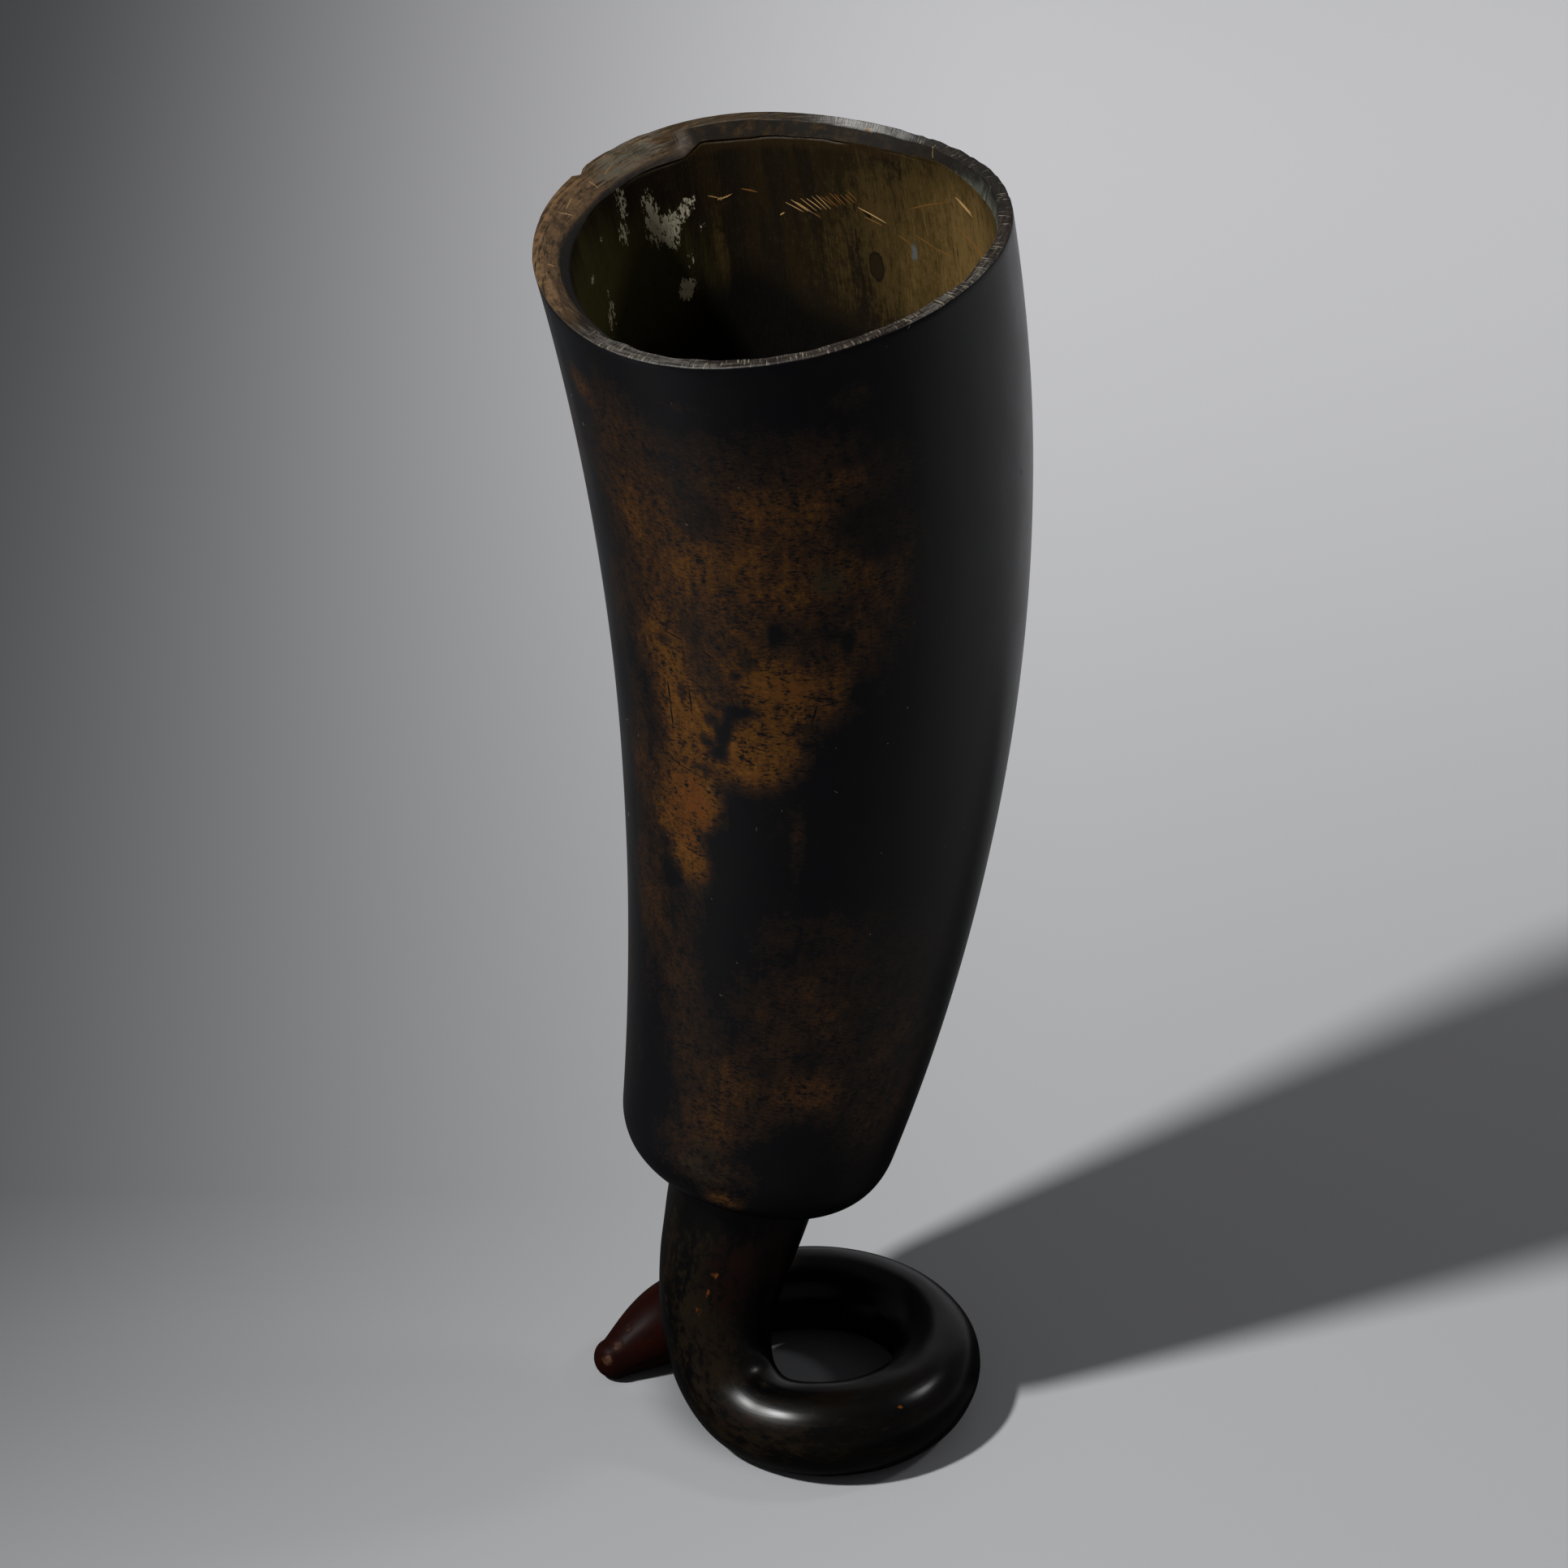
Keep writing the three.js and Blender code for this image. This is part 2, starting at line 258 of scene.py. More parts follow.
def run_tree(piece, tree, values):
    """Runs a Geometry Nodes tree on a piece, keeps the result as its mesh and drops the modifier."""
    modifier = piece.modifiers.new(tree.name, "NODES")
    modifier.node_group = tree
    for item in tree.interface.items_tree:
        if item.in_out == "INPUT" and item.name in values:
            modifier[item.identifier] = values[item.name]
    depsgraph = bpy.context.evaluated_depsgraph_get()
    finished = bpy.data.meshes.new_from_object(piece.evaluated_get(depsgraph),
                                               preserve_all_data_layers=True, depsgraph=depsgraph)
    piece.modifiers.remove(modifier)
    piece.data = finished


def new_piece(name, mesh):
    piece = bpy.data.objects.new(name, mesh)
    scene.collection.objects.link(piece)
    return piece


def smooth_but_for_edges(piece, degrees=50):
    piece.data.shade_smooth()
    piece.data.set_sharp_from_angle(angle=math.radians(degrees))


def spine_curve(name, points):
    curve = bpy.data.curves.new(name, "CURVE")
    curve.dimensions = "3D"
    line = curve.splines.new("POLY")
    line.points.add(len(points) - 1)
    line.points.foreach_set("co", np.column_stack([points, np.ones(len(points))]).ravel())
    spine = bpy.data.objects.new(name, curve)
    scene.collection.objects.link(spine)
    return spine


turn_per_length = (shoulder_lean - mouth_lean) / body_length
heading = np.array([math.cos(arc_heading), math.sin(arc_heading), 0])
underside = np.array(loop_middle) + np.array([-stem_to_left, stem_to_back, underside_height])


def body_axis(length):
    """The middle of the horn at a length from its underside, and the direction along it."""
    lean = shoulder_lean - turn_per_length * length
    forward = (math.cos(lean) - math.cos(shoulder_lean)) / turn_per_length
    rise = (math.sin(shoulder_lean) - math.sin(lean)) / turn_per_length
    middle = underside + heading * forward + np.array([0, 0, rise])
    return middle, heading * math.sin(lean) + np.array([0, 0, math.cos(lean)])


past_the_lip = 3 * mm
body_spine_points = 160
lengths = np.linspace(0, body_length + past_the_lip, body_spine_points)
body_spine = spine_curve("body_spine", np.array([body_axis(length)[0] for length in lengths]))


def colour(code):
    """An sRGB hex code as linear RGBA."""
    srgb = np.array([int(code[i:i + 2], 16) / 255 for i in (1, 3, 5)])
    linear = np.where(srgb <= 0.04045, srgb / 12.92, ((srgb + 0.055) / 1.055) ** 2.4)
    return (*linear, 1.0)


def new_finish(name):
    """An empty material with a shader, and the piece's own grain: its place on the straight blank."""
    finish = bpy.data.materials.new(name)
    finish.use_nodes = True
    tree = finish.node_tree
    tree.nodes.clear()
    shader = add(tree, "BsdfPrincipled", {"IOR": 1.54, "Specular IOR Level": 0.3})
    add(tree, "OutputMaterial", {"Surface": shader})
    grain = add(tree, "Attribute", attribute_name="grain").outputs["Vector"]
    return finish, tree, shader, grain


def mottling(tree, grain, width, length, detail, roughness=0.5):
    """Noise in marks of this width across the horn and this length along it, in millimetres."""
    marks_in_metre = (1 / (width * mm), 1 / (width * mm), 1 / (length * mm))
    place = add(tree, "VectorMath", {0: grain, 1: marks_in_metre}, operation="MULTIPLY")
    return add(tree, "TexNoise",
               {"Vector": place, "Scale": 1.0, "Detail": detail, "Roughness": roughness})


def stored(tree, names):
    """The amounts that soft_spots has stored on the mesh under these names."""
    return [add(tree, "Attribute", attribute_name=name).outputs["Fac"]
            for name in names.split()]


def summed(tree, total, *parts):
    """A total, to which each part adds a value times its share."""
    for value, share in parts:
        total = add(tree, "Math", {0: value, 1: share, 2: total}, operation="MULTIPLY_ADD")
    return total


def worn_through(tree, outermost, layers):
    """Layers of colour from the outside in. Each is laid where its amount passes from one level,
    where it first shows, to another, where it hides what lies over it."""
    shown = colour(outermost)
    for code, amount, first, full in layers:
        mask = add(tree, "MapRange", {"Value": amount, "From Min": first, "From Max": full},
                   interpolation_type="SMOOTHSTEP")
        shown = add(tree, "Mix", {"Factor": mask, "A": shown, "B": colour(code)}, data_type="RGBA")
    return next(socket for socket in shown.outputs if socket.enabled)


def join_up(tree, shader, surface, rough, relief, strength, depth):
    """Joins a finish's colour, its roughness and its fine relief of this depth to its shader."""
    bump = add(tree, "Bump", {"Height": relief, "Strength": strength, "Distance": depth})
    tree.links.new(surface, shader.inputs["Base Color"])
    tree.links.new(rough.outputs[0], shader.inputs["Roughness"])
    tree.links.new(bump.outputs[0], shader.inputs["Normal"])


def polished_horn():
    """Dark horn scraped, greased and rubbed to a satin gloss. The black is a skin: where hands wore
    it away it thins to red-brown and then to the amber of the keratin, in a fine fibrous mottle
    peppered with what is left of the black."""
    finish, tree, shader, grain = new_finish("polished dark horn")
    cloud = mottling(tree, grain, 5.5, 8, 5, 0.6)
    mottle = mottling(tree, grain, 1.4, 2.0, 6, 0.7)
    speck = mottling(tree, grain, 0.75, 0.32, 5, 0.65)
    fibre = mottling(tree, grain, 0.35, 5, 2)
    worn, glow, cool = stored(tree, "worn glow cool")

    uneven = summed(tree, -1.7, (cloud, 0.9), (mottle, 0.9), (speck, 1.3), (fibre, 0.3))
    reach = add(tree, "Math", {0: worn, 1: 0.28}, operation="ADD")
    amount = summed(tree, worn, (uneven, reach))
    # Painted light: near the left edge the orange also stands for light shining through the horn.
    orange_and_glow_mask = add(tree, "Math", {0: amount, 1: glow}, operation="MULTIPLY")
    clouded = summed(tree, cool, (mottle, 0.6))
    pits = summed(tree, 1.0, (speck, -1.0), (mottle, -0.7))
    surface = worn_through(tree, "#06060a", [
        ("#0b090a", cloud, 0.45, 0.65),
        ("#1c120b", amount, 0.12, 0.26),
        ("#2c1b0d", amount, 0.28, 0.42),
        ("#43280b", amount, 0.46, 0.62),
        ("#5d390a", amount, 0.64, 0.84),
        ("#774a16", amount, 0.88, 1.2),
        ("#66350c", orange_and_glow_mask, 0.22, 0.75),
        ("#2b2c1c", clouded, 0.5, 1.1),
        ("#090708", pits, 0.21, 0.29),
    ])
    rough = add(tree, "MapRange",
                {"Value": amount, "From Min": 0.2, "From Max": 1.2, "To Min": 0.28, "To Max": 0.44})
    rough = summed(tree, rough, (cloud, 0.14))
    relief = summed(tree, mottle, (fibre, 0.35))
    join_up(tree, shader, surface, rough, relief, 0.25, 0.05 * mm)
    return finish


def raw_horn():
    """The inside of the horn, scraped but never polished: dull olive brown, streaked by the fibres
    that run down the horn, honey-coloured where light has bleached it, and painted darker with
    shade further down the hollow and near black in one deep place at the back. A crust of dried
    drink clings to it in ragged flakes."""
    finish, tree, shader, grain = new_finish("scraped raw horn")
    fibre = mottling(tree, grain, 0.2, 4, 4)
    streak = mottling(tree, grain, 2.6, 24, 4)
    mottle = mottling(tree, grain, 0.9, 1.5, 6, 0.75)
    crust = mottling(tree, grain, 0.42, 0.9, 8, 0.7)
    honey, green, stain, scale = stored(tree, "honey green stain scale")
    bloom, band, spill = stored(tree, "bloom band spill")
    # Painted shade: the inside is painted darker further down the hollow, where light hardly reaches.
    shade_top, shade_full = 136 * mm, 90 * mm
    along = add(tree, "SeparateXYZ", {0: grain}).outputs["Z"]
    painted_depth_shade = add(tree, "MapRange", {"Value": along, "From Min": shade_top, "From Max": shade_full})
    painted_depth_shade = summed(tree, painted_depth_shade, (streak, 0.7), (honey, -0.9))
    golden = summed(tree, honey, (streak, 0.6), (mottle, 1.0), (fibre, 0.5))
    # Painted light: the olive is the horn's own colour, made paler on the left, which the main lamp
    # leaves in shade, to stand for light bounced onto it.
    mossy = summed(tree, green, (streak, 0.8))
    # Painted shade: a deep place at the back of the hollow is painted near black.
    painted_deep_shade_mottled = summed(tree, stain, (mottle, 0.4))
    dusty = summed(tree, bloom, (crust, 1.0))
    flakes = summed(tree, scale, (crust, 2.0), (fibre, 0.5))
    dark_fibre = summed(tree, 0.0, (fibre, -1.0))
    surface = worn_through(tree, "#1e160a", [
        ("#2a1f0c", streak, 0.42, 0.62),
        ("#33250f", band, 0.1, 0.9),
        ("#4f4c24", mossy, 0.55, 1.25),
        ("#4c3c1c", golden, 1.2, 1.6),
        ("#7c6237", golden, 1.55, 2.1),
        ("#382b14", mottle, 0.52, 0.8),
        ("#171007", dark_fibre, -0.42, -0.2),
        ("#0c0904", painted_deep_shade_mottled, 0.35, 0.8),
        ("#1c150b", spill, 0.22, 0.34),
        ("#281e0d", spill, 0.38, 0.5),
        ("#050403", painted_depth_shade, 0.5, 1.25),
        ("#66737a", dusty, 0.95, 1.38),
        ("#ece4c4", flakes, 1.86, 1.93),
    ])
    rough = add(tree, "MapRange", {"Value": mottle, "To Min": 0.42, "To Max": 0.66})
    relief = summed(tree, fibre, (mottle, 0.6), (flakes, 0.6))
    join_up(tree, shader, surface, rough, relief, 0.5, 0.1 * mm)
    return finish


def filed_horn():
    """The sawn and filed edge. The cut shows the keratin's own tan in fine layers that follow the
    mouth, crossed by the file's teeth, and grime has settled into both. Where the edge is polished
    smooth it carries a painted pale grey highlight, and painted shade darkens the foot of the bevel
    at the left."""
    finish, tree, shader, grain = new_finish("filed horn edge")
    level = add(tree, "VectorMath", {0: grain, 1: (1, 1, 0)}, operation="MULTIPLY")
    round_the_mouth = add(tree, "VectorMath", {0: level}, operation="NORMALIZE")
    away = add(tree, "VectorMath", {0: level}, operation="LENGTH").outputs["Value"]
    grain_parts = add(tree, "SeparateXYZ", {0: grain})
    tooth_spacing = 0.2 * mm
    tooth_length = 1.6 * mm
    teeth_round = add(tree, "VectorMath",
                      {0: round_the_mouth, "Scale": mouth_width / 2 / tooth_spacing}, operation="SCALE")
    teeth_in = summed(tree, 0.0, (away, 1 / tooth_length))
    teeth_in = add(tree, "CombineXYZ", {2: teeth_in})
    teeth_place = add(tree, "VectorMath", {0: teeth_round, 1: teeth_in}, operation="ADD")
    teeth = add(tree, "TexNoise", {"Vector": teeth_place, "Scale": 1.0, "Detail": 2.0})
    layer_width = 0.3 * mm
    waves_round = 9.0
    layer_place = summed(tree, 0.0, (away, 1 / layer_width))
    height_place = summed(tree, 0.0, (grain_parts.outputs["Z"], 1 / layer_width))
    slow_round = add(tree, "VectorMath", {0: round_the_mouth, "Scale": waves_round},
                     operation="SCALE")
    slow_parts = add(tree, "SeparateXYZ", {0: slow_round})
    layers_place = add(tree, "CombineXYZ",
                       {0: layer_place, 1: slow_parts.outputs["X"], 2: height_place})
    layers = add(tree, "TexNoise",
                 {"Vector": layers_place, "W": slow_parts.outputs["Y"], "Scale": 1.0, "Detail": 4.0,
                  "Roughness": 0.65}, noise_dimensions="4D")
    mottle = mottling(tree, grain, 1.6, 1.6, 6, 0.7)
    bare, soiled, rubbed, greyed, unfiled = stored(tree, "bare soiled rubbed greyed unfiled")
    tan = summed(tree, bare, (layers, 0.9), (mottle, 1.2), (1.0, -0.25))
    ticks = summed(tree, teeth, (mottle, 0.6), (bare, -0.4), (soiled, -0.15), (unfiled, -0.5))
    gaps = summed(tree, teeth, (bare, 0.25))
    gaps = summed(tree, 0.0, (gaps, -1.0))
    lines = summed(tree, 0.0, (layers, -1.0))
    unscraped = summed(tree, unfiled, (mottle, 0.5))
    # Dirt, and painted shade: the two thin soiled places at the foot of the bevel on the left stand for
    # the shade below the bevel's edge.
    dirt_and_painted_shade = summed(tree, soiled, (mottle, 0.7))
    # Painted highlight: a pale steel grey where the edge is polished, standing for the lamp's sheen on
    # it.
    painted_steel_highlight = summed(tree, rubbed, (layers, 1.2))
    chalky = summed(tree, greyed, (layers, 1.2))
    surface = worn_through(tree, "#1d1815", [
        ("#463d34", layers, 0.4, 0.65),
        ("#40301e", tan, 1.0, 1.3),
        ("#73583a", tan, 1.35, 1.75),
        ("#21180f", lines, -0.46, -0.34),
        ("#565a50", chalky, 1.0, 1.5),
        ("#75726c", painted_steel_highlight, 1.1, 1.6),
        ("#130d05", unscraped, 0.6, 1.1),
        ("#37270f", unscraped, 1.22, 1.36),
        ("#14100d", gaps, -0.42, -0.32),
        ("#15110b", dirt_and_painted_shade, 0.5, 1.0),
        ("#8c8474", ticks, 0.86, 1.0),
    ])
    rough = add(tree, "MapRange", {"Value": rubbed, "To Min": 0.52, "To Max": 0.24})
    rough = summed(tree, rough, (soiled, 0.4), (unfiled, 0.45))
    relief = summed(tree, teeth, (layers, 0.8))
    join_up(tree, shader, surface, rough, relief, 0.6, 0.08 * mm)
    return finish


polished, filed, raw = polished_horn(), filed_horn(), raw_horn()

# The wall runs from the top of the hollow's dome to the mouth, in closed rings of points.
dome_top = 35 * mm
lip_width = 1.9 * mm
bevel_depth = 2.6 * mm
edge_round = 0.35 * mm
outside_rows = 138
edge_rows = 3
lip_rows = 7
bevel_row_count = 11
crack_rows = 32
inside_rows = 70
chance = np.random.default_rng(11)


def wander(finest):
    """An uneven line round the horn: waves of every count up to the finest, of about unit height."""
    line = np.zeros(body_sides)
    for count in range(1, finest + 1):
        line += chance.normal() * np.cos(count * turns + chance.uniform(0, 2 * math.pi))
    return line / math.sqrt(finest / 2)


def near(degrees, half_width):
    """One at a place round the horn, falling to nothing at half_width degrees from it."""
    off = np.abs((turns - math.radians(degrees) + math.pi) % (2 * math.pi) - math.pi)
    share = np.clip(1 - off / math.radians(half_width), 0, 1)
    return share ** 2 * (3 - 2 * share)


# The edge is nicked and chipped: round in degrees, half width in degrees and depth in millimetres.
chips = 0.04 * mm * np.abs(wander(90)) * (0.4 + near(25, 40))
for degrees, half_width, chip_depth in (
    (139, 2.2, 0.6), (44, 5, 0.13), (39, 1.6, 0.12), (31, 3.5, 0.1), (24, 1.8, 0.16), (20, 4, 0.08),
    (13, 1.6, 0.14), (9, 3, 0.1), (3, 1.5, 0.15), (128, 3, 0.1), (118, 4, 0.08), (205, 2, 0.12),
):
    chips += chip_depth * mm * near(degrees, half_width)
chip_reach = 1.6 * mm
chip_reach_in = 1.4 * lip_width
chip_in_share = 0.6

# The bevel is widest where the wall is thickest, at the left, and steps down to half at the back.
degrees_round = np.degrees(turns)
step_from, step_to = 114, 109
fade_from, fade_to = 8, 30
at_back = np.clip((step_from - degrees_round) / (step_from - step_to), 0, 1)
at_back *= np.clip((degrees_round - fade_from) / (fade_to - fade_from), 0, 1)
bevel_foot = bevel_depth * (1 + 0.1 * near(165, 50) - 0.55 * at_back - 0.35 * near(300, 110)
                            + 0.04 * wander(24))
tipped = np.clip(1.6 * near(56, 38), 0, 1)
lip_inset = lip_width * (1 + 0.05 * wander(40) - 0.3 * near(165, 50) - 0.42 * tipped
                         - 0.25 * near(290, 90))
lip_drop = 0.62 * mm * tipped

# Below the bevel a thin dark crack runs round the back, where the horn's innermost layer has lifted.
crack_depth = 0.22 * mm
crack_width = 0.13 * mm
crack_drop = (0.35 + 0.1 * wander(14) + 0.05 * wander(70)) * mm
crack_shown = np.clip(near(95, 75) * 1.6, 0, 1) * np.clip(0.7 + wander(20), 0, 1)


def chipped(along, inset):
    """A ring near the mouth, with the chips taken out of it."""
    down = chips * np.clip(1 - (body_length - along) / chip_reach, 0, 1)
    down = down * np.clip(1 - inset / chip_reach_in, 0, 1)
    ring = body_ring(along, outside_radius(along) - inset - chip_in_share * down)
    ring[:, 2] -= down
    return ring


rings = [chipped(along, 0) for along in np.linspace(dome_top, body_length - edge_round, outside_rows)]
skins = [0] * (outside_rows - 1)
for quarter in np.linspace(0, math.pi / 2, edge_rows + 1)[1:]:
    inset = edge_round * (1 - math.cos(quarter))
    rings.append(chipped(body_length - edge_round * (1 - math.sin(quarter)), inset))
    skins.append(0 if quarter < 1 else 1)
for share_in in np.linspace(0, 1, lip_rows + 1)[1:]:
    rings.append(chipped(body_length - lip_drop * share_in,
                         edge_round + (lip_inset - edge_round) * share_in))
    skins.append(1)
bevel_rows = range(len(rings), len(rings) + bevel_row_count)
for share_down in np.linspace(0, 1, bevel_row_count + 1)[1:]:
    inset = lip_inset + (wall_thickness(body_length) - lip_inset) * share_down
    rings.append(chipped(body_length - lip_drop - (bevel_foot - lip_drop) * share_down, inset))
    skins.append(1)
crack_zone = 3.2 * mm
for below in np.linspace(0, crack_zone, crack_rows + 1)[1:]:
    along = body_length - bevel_foot - below
    groove = crack_depth * crack_shown * np.exp(-((below - crack_drop) / crack_width) ** 2)
    rings.append(body_ring(along, outside_radius(along) - wall_thickness(along) + groove))
    skins.append(2)
for share_down in np.linspace(0, 1, inside_rows)[1:]:
    top_along = body_length - bevel_foot - crack_zone
    rings.append(hollow_ring(top_along + (dome_top - top_along) * share_down))
    skins.append(2)
skins.append(2)

# Where hands have worn the black skin away and where some of it is left, where the horn under it
# is orange, with a painted glow of light shining through the horn near its left edge, and where
# it is cloudy green. A spot is round in degrees, the rest in millimetres.
worn_spots = [
    (224, 94, 6, 12, 0.6), (231, 83, 7, 9, 0.72), (247, 79, 9, 6.5, 0.76), (256, 82, 7.5, 6.5, 0.7),
    (264, 91, 9, 9, 0.55), (281, 95, 6, 8, 0.42), (290, 103, 6, 8, 0.32), (248, 92, 12, 11, 0.5),
    (226, 112, 10, 14, 0.42), (250, 109, 17, 16, 0.42), (270, 114, 16, 14, 0.4), (290, 111, 7, 8, 0.34),
    (285, 125.5, 3, 2.2, 0.5), (262, 122, 14, 5, 0.28), (238, 128, 14, 8, 0.25),
    (264, 130, 14, 8, 0.22), (222, 135, 8, 8, 0.28), (287, 128, 10, 8, 0.24), (294, 118, 8, 10, 0.25),
    (296, 104, 6, 14, 0.2), (214, 122, 7, 12, 0.36), (236, 122, 8, 6, 0.25), (206, 96, 6, 16, 0.36),
    (235, 70, 5, 6, 0.74), (227, 72, 6, 8, 0.6), (225, 64, 6, 8, 0.72), (231, 59, 4, 5, 0.66),
    (236, 68, 4, 4, 0.5), (208, 72, 6, 14, 0.42), (209, 52, 6, 12, 0.36), (216, 40, 7, 14, 0.2),
    (229, 36, 5, 14, 0.22), (230, 52, 4, 6, 0.25), (266, 66, 1.4, 10, 0.3), (258, 70, 5, 4, 0.2),
    (262, 40, 9, 9, 0.18), (281, 34, 14, 13, 0.25), (284, 23.5, 7, 4.5, 0.32), (266, 26, 8, 8, 0.2),
    (304, 38, 14, 24, 0.3), (311, 22, 10, 15, 0.32), (256, 20, 8, 8, 0.28), (276, 50, 12, 8, 0.22),
    # The spot at 257 degrees and 4 mm, low on the shoulder, is wear and also a painted highlight.
    (241, 24, 7, 12, 0.28), (246, 11, 10, 9, 0.36), (257, 4, 3.5, 2, 0.7), (206, 135, 4, 4, 0.5),
    (290, 138, 4, 3, 0.3), (246, 139, 5, 1.6, 0.2), (300, 126, 5, 4, 0.2), (60, 92, 16, 20, 0.55),
    (78, 76, 12, 14, 0.6), (120, 108, 12, 12, 0.45), (30, 60, 9, 12, 0.4), (90, 100, 30, 40, 0.35),
    (40, 40, 20, 26, 0.4), (140, 50, 20, 30, 0.4), (160, 80, 10, 22, 0.45), (170, 30, 12, 20, 0.35),
    (0, 100, 12, 30, 0.25), (180, 120, 12, 16, 0.3),
]
kept_spots = [
    (280, 99.5, 0.9, 2.4, 0.9), (277, 101, 1.2, 1, 0.8), (262, 101.5, 1.6, 1.6, 0.7),
    (253, 96, 1.4, 2, 0.6), (247, 87, 1.6, 2, 0.7), (243, 82.5, 1.3, 3.4, 0.95),
    (240, 85, 1.2, 1.4, 0.7), (230, 88, 1.2, 2, 0.5), (225, 96, 1.6, 1.4, 0.5),
    (284, 91, 1.8, 2.6, 0.7), (289, 83, 3, 5, 0.6), (268, 86, 2, 0.7, 0.5),
    (219, 60, 1.6, 3, 0.6), (222, 55, 2.4, 3, 0.7), (216, 78, 1.4, 2, 0.4),
    (236, 76, 2.4, 0.9, 0.6), (271, 13, 6, 3, 0.8), (283, 10, 4, 3, 0.5), (262, 28, 3, 3, 0.4),
    (288, 118, 5, 5, 0.6), (291, 114, 4, 3, 0.6), (276, 30, 3, 3, 0.4), (268, 47, 4, 3, 0.4),
    (254, 70, 6, 4, 0.7), (243, 62, 3, 7, 0.8), (244, 121, 5, 6, 0.5), (206, 90, 2, 5, 0.5),
    (281, 100, 1, 2, 0.8), (260.5, 101, 0.8, 2.6, 0.8), (249, 93.6, 0.9, 1, 0.8),
    (250, 87.6, 2.6, 1.2, 0.85), (245, 84, 0.8, 2.8, 0.9), (242, 79.5, 1.8, 1.6, 0.95),
    (213.4, 75, 0.7, 2.6, 0.7), (269, 83, 1.4, 0.7, 0.7), (282.5, 91, 1, 2.2, 0.8),
    (238, 81, 1.6, 0.8, 0.8),
]
# The horn's orange, and near the left edge a painted glow of light shining through it.
orange_and_painted_glow_spots = [
    (229, 68, 7, 12, 0.55), (207, 72, 5, 10, 0.45), (266, 93, 6, 7, 0.45), (281, 24, 7, 5, 0.5),
    (280, 84, 6, 5, 0.4),
]
cool_spots = [
    (277, 110, 4, 4, 0.5), (246, 9, 5, 8, 0.35), (200, 20, 5, 12, 0.3),
]


def wear_of_the_outside(mesh):
    """The wall and the base share their wear, which runs on over the cut."""
    soft_spots(mesh, "worn", worn_spots, kept_spots)
    soft_spots(mesh, "glow", orange_and_painted_glow_spots)
    soft_spots(mesh, "cool", cool_spots)


wall_mesh = skin_over("cup_wall_horn", rings, skins, joined=True)
wear_of_the_outside(wall_mesh)
# Inside: bleached places, olive places painted paler on the shaded left, painted shade deep in the
# hollow, a bloom, a spill, a band of drink and its crust. On the edge: where it is bare, where it
# is soiled and where painted shade lies at the foot of the bevel on the left, where it is rubbed
# smooth and carries a painted highlight, and where it is greyed.
wall_spots = {
    "honey": [(12, 128, 14, 20, 0.8), (38, 128, 12, 18, 0.5), (-20, 126, 12, 20, 0.75),
        (62, 128, 12, 14, 0.25), (109, 126, 1.2, 8, 0.45), (20, 138, 16, 6, 0.3), (216, 130, 6, 10, 0.3)],
    # olive places, painted paler on the shaded left to stand for bounced light
    "green": [(150, 128, 14, 16, 0.8), (172, 126, 14, 18, 0.9), (206, 128, 12, 14, 0.7),
        (125, 127, 8, 12, 0.5), (0, 141, 8, 4, 0.5)],
    # painted shade: the deep place at the back of the hollow
    "stain": [(104, 108, 8, 20, 0.95), (84, 104, 14, 18, 0.75)],
    "bloom": [(44, 129, 0.9, 2.4, 0.8)],
    "spill": [(59.5, 125.5, 1.3, 2.4, 0.9)],
    "band": [(degrees, 143.5, 9, 2.4, 0.9) for degrees in range(30, 131, 20)],
    "scale": [(135, 140, 1.5, 4, 0.66), (137, 135.5, 1.6, 2.8, 0.68), (127, 137, 1.8, 4, 0.72),
        (126, 133, 3, 3.2, 0.7), (120, 134, 3.2, 2, 0.68), (115.5, 135.6, 1.8, 1.6, 0.64),
        (122, 131, 1.6, 3.2, 0.68), (113, 131.5, 1.1, 1.6, 0.62), (121, 123.5, 1.9, 2.4, 0.95),
        (149, 128, 1, 4, 0.66), (152, 126, 1, 3, 0.66), (156, 134.5, 1, 1.4, 0.8),
        (118, 127.5, 1, 2, 0.55), (146, 138, 0.8, 2, 0.55)],
    "bare": [(154, 144, 28, 9, 0.75), (192, 145, 12, 9, 0.55), (118, 145, 12, 5, 0.3),
        (94, 144.5, 9, 3, 0.4)],
    # dirt; the two thin places at the foot of the bevel on the left are painted shade
    "soiled": [(20, 145, 26, 4, 0.5), (240, 145, 30, 4, 0.3), (150, 142.3, 30, 0.9, 0.6),
        (186, 143.1, 16, 1.1, 0.95)],
    # polished places, which also carry a painted highlight
    "rubbed": [(56, 144.2, 9.5, 3, 1), (80, 144.6, 3, 2, 0.3), (300, 145, 34, 0.8, 0.7),
        (119, 144.4, 3.6, 2, 0.6), (240, 146, 20, 1.2, 0.7)],
    "greyed": [(8, 142.5, 14, 2.4, 0.9), (-14, 142.5, 10, 2, 0.7), (100, 144, 24, 3, 0.45),
        (131, 144, 8, 2, 0.5)],
}
for name, spots in wall_spots.items():
    soft_spots(wall_mesh, name, spots)
unfiled = np.zeros(len(wall_mesh.vertices))
for row in bevel_rows:
    unfiled[row * body_sides:(row + 1) * body_sides] = at_back
wall_mesh.attributes.new("unfiled", "FLOAT", "POINT").data.foreach_set("value", unfiled)
wall = new_piece("cup_wall_horn", wall_mesh)
body_bend = {"Spine": body_spine, "Keep the spine's twist": False, "Unevenness": 0.25 * mm,
             "Facet width": 9 * mm, "Facet length": 45 * mm, "Even near the joint": 6 * mm,
             "Outside": polished, "Lip": filed, "Inside": raw}
run_tree(wall, bending, body_bend)
smooth_but_for_edges(wall)
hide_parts("cup_wall")
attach(wall, "root")

# The marks on the wall. Inside, the scraper skipped and cut into fresh horn, once in a row of short
# strokes. Outside, threads of the black skin are left in the worn places, and knocks have left nicks.
mark_stations = 7
mark_root = 0.1 * mm
blunt_end = 0.03


